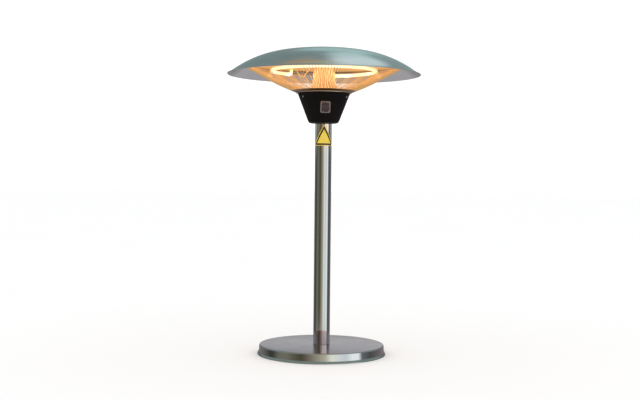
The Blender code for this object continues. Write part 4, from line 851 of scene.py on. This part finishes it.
def build_hood():
    crown_centre = HOOD_TOP - CROWN_RADIUS
    crown = [CROWN_ANGLE * i / 12 for i in range(12)]
    line = [(CROWN_RADIUS * math.sin(a), crown_centre + CROWN_RADIUS * math.cos(a)) for a in crown]
    start, end = CROWN_RADIUS * math.sin(CROWN_ANGLE), HOOD_RADIUS - BRIM_WIDTH
    shoulder = [start + (end - start) * i / 36 for i in range(37)]
    line += [(radius, hood_height(radius)) for radius in shoulder]
    centre = (HOOD_RADIUS - HEM_RADIUS, RIM_HEIGHT + HEM_RADIUS)
    brim = [line[-2], line[-1], (centre[0] + 0.0004, centre[1] + HEM_RADIUS)]
    line = line[:-1] + eased(brim, 0.004, False, 6)[1:]
    line += arc(centre, HEM_RADIUS, 60, -150, 12)
    under = []
    for i in range(37):
        radius = max(0.0, end - end * i / 36)
        under.append((radius, hood_height(radius) - SHEET * math.hypot(1, hood_slope(radius))))
    hood = turning("hood_shell", line + under, HOOD_STEEL, 256, False)
    place(hood, "hood_steel", "hood")
    seat_height = hood_height(HOOD_SCREW_RADIUS) + GAP
    tilt = math.atan(-hood_slope(HOOD_SCREW_RADIUS))
    for i, turn in enumerate(THIRDS):
        a = math.radians(turn)
        seat = around(HOOD_SCREW_RADIUS, a, seat_height)
        out = Vector((math.sin(tilt) * math.cos(a), math.sin(tilt) * math.sin(a), math.cos(tilt)))
        cross_screw(f"hood_screw_head_{i + 1}", 0.0042, 0.0013, seat, out, ZINC, "zinc_plated",
                    f"hood_screw_{i + 1}")


def build_reflector():
    inner = COLUMN_RADIUS + GAP
    radii = [inner + (REFLECTOR_RADIUS - inner) * i / 40 for i in range(41)]
    top = [(r, reflector_height(r)) for r in radii]
    under = [(r, z - SHEET) for r, z in reversed(top)]
    pan = turning("reflector_pan", top + under, REFLECTOR_STEEL)
    place(pan, "bright_steel", "reflector")


# ---------------------------------------------------------------- guard
def build_guard():
    """Round wires between a ring at the foot, dark with painted shade, and a rolled ring under the hood."""
    half, band_width = 0.0009, 0.0065
    base = PLATE_TOP + GAP + half
    foot, knee, bend = (0.0835, base), (0.0985, base + 0.0052), (0.142, base + 0.0237)
    slope = math.tan(math.radians(28.3))
    top_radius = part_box("wire_guard")[1].x
    top = (top_radius, bend[1] + (top_radius - bend[0]) * slope)
    line = eased([(0.0925, base + 0.0031), knee, bend, (top[0] - 0.0015, top[1] - 0.0008)], 0.016, False, 5)
    wire = 0.00095
    wires = 144
    bm = bmesh.new()
    section = circle(wire, 8)
    for i in range(wires):
        a = 2 * math.pi * (i + 0.5) / wires
        sweep(bm, [around(r, a, z) for r, z in line], section)
    cage = object_from("guard_wires", bm, WIRE_STEEL, 60)
    place(cage, "guard_wire", "wire_guard")

    sheet = [(r, z + half) for r, z in (foot, knee)] + [(r, z - half) for r, z in (knee, foot)]
    ring = turning("guard_foot_ring", eased(sheet, 0.0005), RING_STEEL)
    place(ring, "guard_wire")
    inward, dropped = top[0] - band_width, top[1] - band_width * slope
    band = [(inward, dropped + half), (top[0], top[1] + half), (top[0], top[1] - half), (inward, dropped - half)]
    ring = turning("guard_top_ring", eased(band, 0.0006), RING_STEEL)
    place(ring, "guard_wire")


# ---------------------------------------------------------------- lamp
def build_lamp():
    spread = math.asin((LAMP_END_SPREAD + LAMP_BEND) / LAMP_RADIUS)
    start = LAMP_GAP_DIRECTION + spread
    turn = 2 * math.pi - 2 * spread
    ring = [around(LAMP_RADIUS, start + turn * i / 180, LAMP_HEIGHT) for i in range(181)]
    end_spread = math.asin(LAMP_END_SPREAD / LAMP_RADIUS)
    ends = [around(LAMP_RADIUS, LAMP_GAP_DIRECTION + side * end_spread, LAMP_HEIGHT) for side in (1, -1)]

    def corner(base, ring_end):
        flat = ring_end - base
        points = []
        for i in range(9):
            a = math.pi / 2 * i / 8
            points.append(base + flat * (1 - math.cos(a)) + Vector((0, 0, LAMP_BEND * (1 - math.sin(a)))))
        return points

    rise = Vector((0, 0, LAMP_BEND + LAMP_STUB))
    route = [ends[0] + rise] + corner(ends[0], ring[0])[:-1] + ring
    route += corner(ends[1], ring[-1])[-2::-1] + [ends[1] + rise]
    bm = bmesh.new()
    sweep(bm, route, circle(LAMP_TUBE_RADIUS, 24))
    tube = object_from("ring_lamp", bm, QUARTZ, 60)
    place(tube, "glowing_quartz", "lamp_tube")

    low = LAMP_HEIGHT + LAMP_BEND + LAMP_STUB + GAP
    wide, length, groove = LAMP_CAP_RADIUS, 0.034, 0.0052
    cap = [(0, length), (wide, length), (wide, 0.0260), (groove, 0.0255), (groove, 0.0240), (wide, 0.0235)]
    cap += [(wide, 0.0), (0.0, 0.0)]
    for i, end in enumerate(ends):
        matrix = Matrix.Translation((end.x, end.y, low))
        made = turning(f"lamp_end_{i + 1}", eased(cap, 0.0007, False), CERAMIC, 48, False, matrix)
        place(made, "white_ceramic", f"lamp_cap_{i + 1}")
    build_straps()


def build_straps():
    """A hanger on each side of the ring, and a V-shaped strap between the lamp's two ends."""
    thickness, width, foot = 0.0010, 0.0070, 0.010
    half = LAMP_TUBE_RADIUS + thickness / 2 + 3 * GAP
    hang = SHEET + thickness / 2 + 2 * GAP
    inner, outer = LAMP_RADIUS - half, LAMP_RADIUS + half
    line = [(inner - foot, reflector_height(inner - foot) - hang), (inner, reflector_height(inner) - hang)]
    line += [(inner, LAMP_HEIGHT - half), (outer, LAMP_HEIGHT - half), (outer, reflector_height(outer) - hang)]
    line += [(outer + foot, reflector_height(outer + foot) - hang)]
    for i, turn in enumerate((0, 180)):
        matrix = Matrix.Rotation(math.radians(turn), 4, "Z")
        hanger = strip(f"lamp_hanger_{i + 1}", eased(line, 0.0022, False), thickness, width, STRAP_STEEL, matrix)
        place(hanger, "bright_steel", f"lamp_clip_{i + 1}")
    top = reflector_height(LAMP_RADIUS + width / 2) - SHEET - thickness / 2 - 4 * GAP
    low = LAMP_HEIGHT - LAMP_TUBE_RADIUS
    half = LAMP_END_SPREAD - LAMP_CAP_RADIUS - thickness - GAP
    line = [(-half * 0.6, top), (-half, top), (-half * 0.15, low)]
    line += [(-x, z) for x, z in reversed(line)]
    matrix = Matrix.Translation(around(LAMP_RADIUS, LAMP_GAP_DIRECTION, 0))
    matrix = matrix @ Matrix.Rotation(LAMP_GAP_DIRECTION + math.pi / 2, 4, "Z")
    strap = strip("lamp_strap", eased(line, 0.004, False), thickness, width, STRAP_STEEL, matrix)
    place(strap, "bright_steel", "lamp_bracket")


def dress_cad_nodes():
    """Procedural materials for the pieces whose CAD shape stays."""
    looks = {
        CONCRETE: ("base_ballast",),
        ZINC: ("base_bolt_1", "base_bolt_2", "base_bolt_3", "socket_screw_1", "socket_screw_2", "socket_screw_3",
               "column_screw_1", "column_screw_2", "column_screw_3", "tilt_pin"),
        PLAIN_STEEL: ("pole_foot_plug", "hood_plate"),
        CAST_ALUMINIUM: ("pole_socket",),
        PLASTIC: ("switch_body", "tilt_switch_case", "micro_switch"),
        CERAMIC: ("terminal_block",),
        BRASS: ("thermal_cutout", "tilt_pendulum"),
        SLEEVE: ("lamp_lead_1", "lamp_lead_2", "switch_lead_1", "switch_lead_2"),
    }
    for material, names in looks.items():
        for name in names:
            nodes[name].data.materials.clear()
            nodes[name].data.materials.append(material)


# ---------------------------------------------------------------- stage, light and camera
def build_stage():
    """A wide pale floor. It isn't mirrored in the polished metal, which shows the studio instead."""
    look = Look("pale_floor", 0.0, Specular_IOR_Level=0.1)
    vector = look.place()
    varied(look, vector, (0.90, 0.90, 0.90), 0.004, 0.8, 0.8, 0.02)
    outline = [(0, 0), (1.0, 0), (6.0, 0), (40.0, 0), (40.0, -0.2), (0, -0.2)]
    floor = turning("floor", outline, look.material, 96, False)
    floor.visible_glossy = False


def build_world():
    """A studio that only reflections see: bands of tone round the heater, soft patches above, a pale ground."""
    world = bpy.data.worlds.new("studio")
    bpy.context.scene.world = world
    world.use_nodes = True
    world.node_tree.nodes.clear()
    tree = Nodes(world.node_tree)

    where = tree.node("ShaderNodeTexCoord").outputs["Generated"]
    turned = tree.node("ShaderNodeVectorRotate", Vector=where, Angle=-CAMERA_TURN)
    turned.rotation_type = "Z_AXIS"
    direction = turned.outputs[0]
    x, y, level = tree.node("ShaderNodeSeparateXYZ", Vector=direction).outputs
    front = tree.math("MULTIPLY", y, -1.0)
    share = tree.spread(tree.math("ARCTAN2", x, front), 0.0, 1.0, -math.pi, math.pi)
    # azimuth of each band, 0 at the front, and its colour
    stops = [
        (-180, (150, 150, 150)), (-150, (120, 119, 117)), (-127, (100, 99, 97)), (-106, (58, 58, 54)),
        (-98, (64, 63, 60)), (-83, (110, 111, 103)), (-65, (112, 113, 102)), (-50, (90, 90, 76)),
        (-36, (74, 73, 58)), (-28, (98, 92, 82)), (-20, (120, 115, 103)), (-7, (152, 149, 134)),
        (7, (178, 180, 162)), (18, (230, 236, 222)), (33, (218, 226, 230)), (45, (206, 216, 224)),
        (58, (240, 249, 253)), (71, (238, 247, 252)), (78, (102, 108, 110)), (100, (76, 78, 78)),
        (127, (107, 105, 105)), (150, (126, 124, 123)), (180, (150, 150, 150)),
    ]
    bands = tree.ramp(share, *[((angle + 180) / 360, linear(*colour)) for angle, colour in stops])

    def fade(value, start, end, lower, upper, kind="MIX"):
        """Passes from one colour to another while the value rises from start to end."""
        eased_share = tree.node("ShaderNodeMapRange", Value=value, i1=start, i2=end)
        eased_share.interpolation_type = "SMOOTHSTEP"
        return tree.mix(eased_share.outputs[0], lower, upper, kind)

    # azimuth and elevation of each patch, the angles where it starts and is full, and its colour
    patches = [
        (180, 6, 17, 4, (203, 216, 209)), (-168, 36, 30, 14, (124, 144, 145)), (175, 31, 11, 6, (172, 206, 206)),
        (167, 47, 10, 6, (190, 222, 223)), (155, 57, 13, 8, (224, 240, 247)), (158, 45, 7, 4, (214, 235, 241)),
        (162, 29, 9, 6, (137, 161, 162)), (145, 38, 9, 7, (142, 156, 156)), (-148, 66, 13, 5, (198, 156, 116)),
        (-160, 72, 12, 5, (194, 160, 120)), (-178, 74, 11, 5, (196, 184, 146)),
    ]
    high = opaque(140, 158, 157)
    for azimuth, elevation, wide, narrow, colour in patches:
        a, e = math.radians(azimuth), math.radians(elevation)
        towards = (math.cos(e) * math.sin(a), -math.cos(e) * math.cos(a), math.sin(e))
        facing = tree.node("ShaderNodeVectorMath", "DOT_PRODUCT", i0=direction, i1=towards).outputs["Value"]
        edges = [math.cos(math.radians(angle)) for angle in (wide, narrow)]
        high = fade(facing, *edges, high, opaque(*colour))

    # the bands reach higher up at the front, and are warm at one height
    lowered = tree.math("ADD", level, tree.spread(front, 0.0, -0.25, -0.3, 0.5))
    low = fade(level, -0.40, -0.20, opaque(184, 180, 184), bands)
    warmed = fade(level, 0.12, 0.15, low, (1.5, 1.10, 0.84, 1), "MULTIPLY")
    low = fade(level, 0.17, 0.21, warmed, low)
    studio = fade(lowered, 0.05, 0.12, low, high)

    mirrored = tree.node("ShaderNodeBackground", Color=studio, Strength=1.0).outputs[0]
    soft = tree.node("ShaderNodeBackground", Color=(1.0, 1.0, 1.0, 1), Strength=1.14).outputs[0]
    glossy = tree.node("ShaderNodeLightPath").outputs["Is Glossy Ray"]
    chosen = tree.node("ShaderNodeMixShader", i0=glossy, i1=soft, i2=mirrored)
    tree.node("ShaderNodeOutputWorld", Surface=chosen.outputs[0])


def build_lights():
    """Warm light from the ring lamp on what is round it, as small lights along the ring."""
    count = 10
    for i in range(count):
        a = LAMP_GAP_DIRECTION + 2 * math.pi * (i + 0.5) / count
        data = bpy.data.lights.new(f"lamp_light_{i + 1}", "POINT")
        data.energy = 0.13
        data.color = (1.0, 0.62, 0.28)
        data.shadow_soft_size = 0.004
        light = bpy.data.objects.new(data.name, data)
        light.location = around(LAMP_RADIUS - 0.012, a, LAMP_HEIGHT - 0.004)
        light.visible_camera = False
        light.visible_glossy = False
        bpy.context.scene.collection.objects.link(light)


def build_camera():
    """The camera that fits the photo."""
    data = bpy.data.cameras.new("camera")
    data.sensor_width = 36.0
    data.lens = 60.06
    data.clip_start = 0.05
    data.clip_end = 120.0
    camera = bpy.data.objects.new("camera", data)
    bpy.context.scene.collection.objects.link(camera)
    turn = Matrix.Rotation(math.radians(90 - 1.19), 4, "X") @ Matrix.Rotation(math.radians(0.56), 4, "Z")
    place_in_front = Matrix.Translation((-0.0086, -3.268, 0.539))
    camera.matrix_world = Matrix.Rotation(CAMERA_TURN, 4, "Z") @ place_in_front @ turn
    bpy.context.scene.camera = camera
    bpy.context.scene.view_settings.view_transform = "Standard"


build_foot()
build_pole()
build_housing()
build_column()
build_hood()
build_reflector()
build_guard()
build_lamp()
dress_cad_nodes()
build_stage()
build_world()
build_lights()
build_camera()
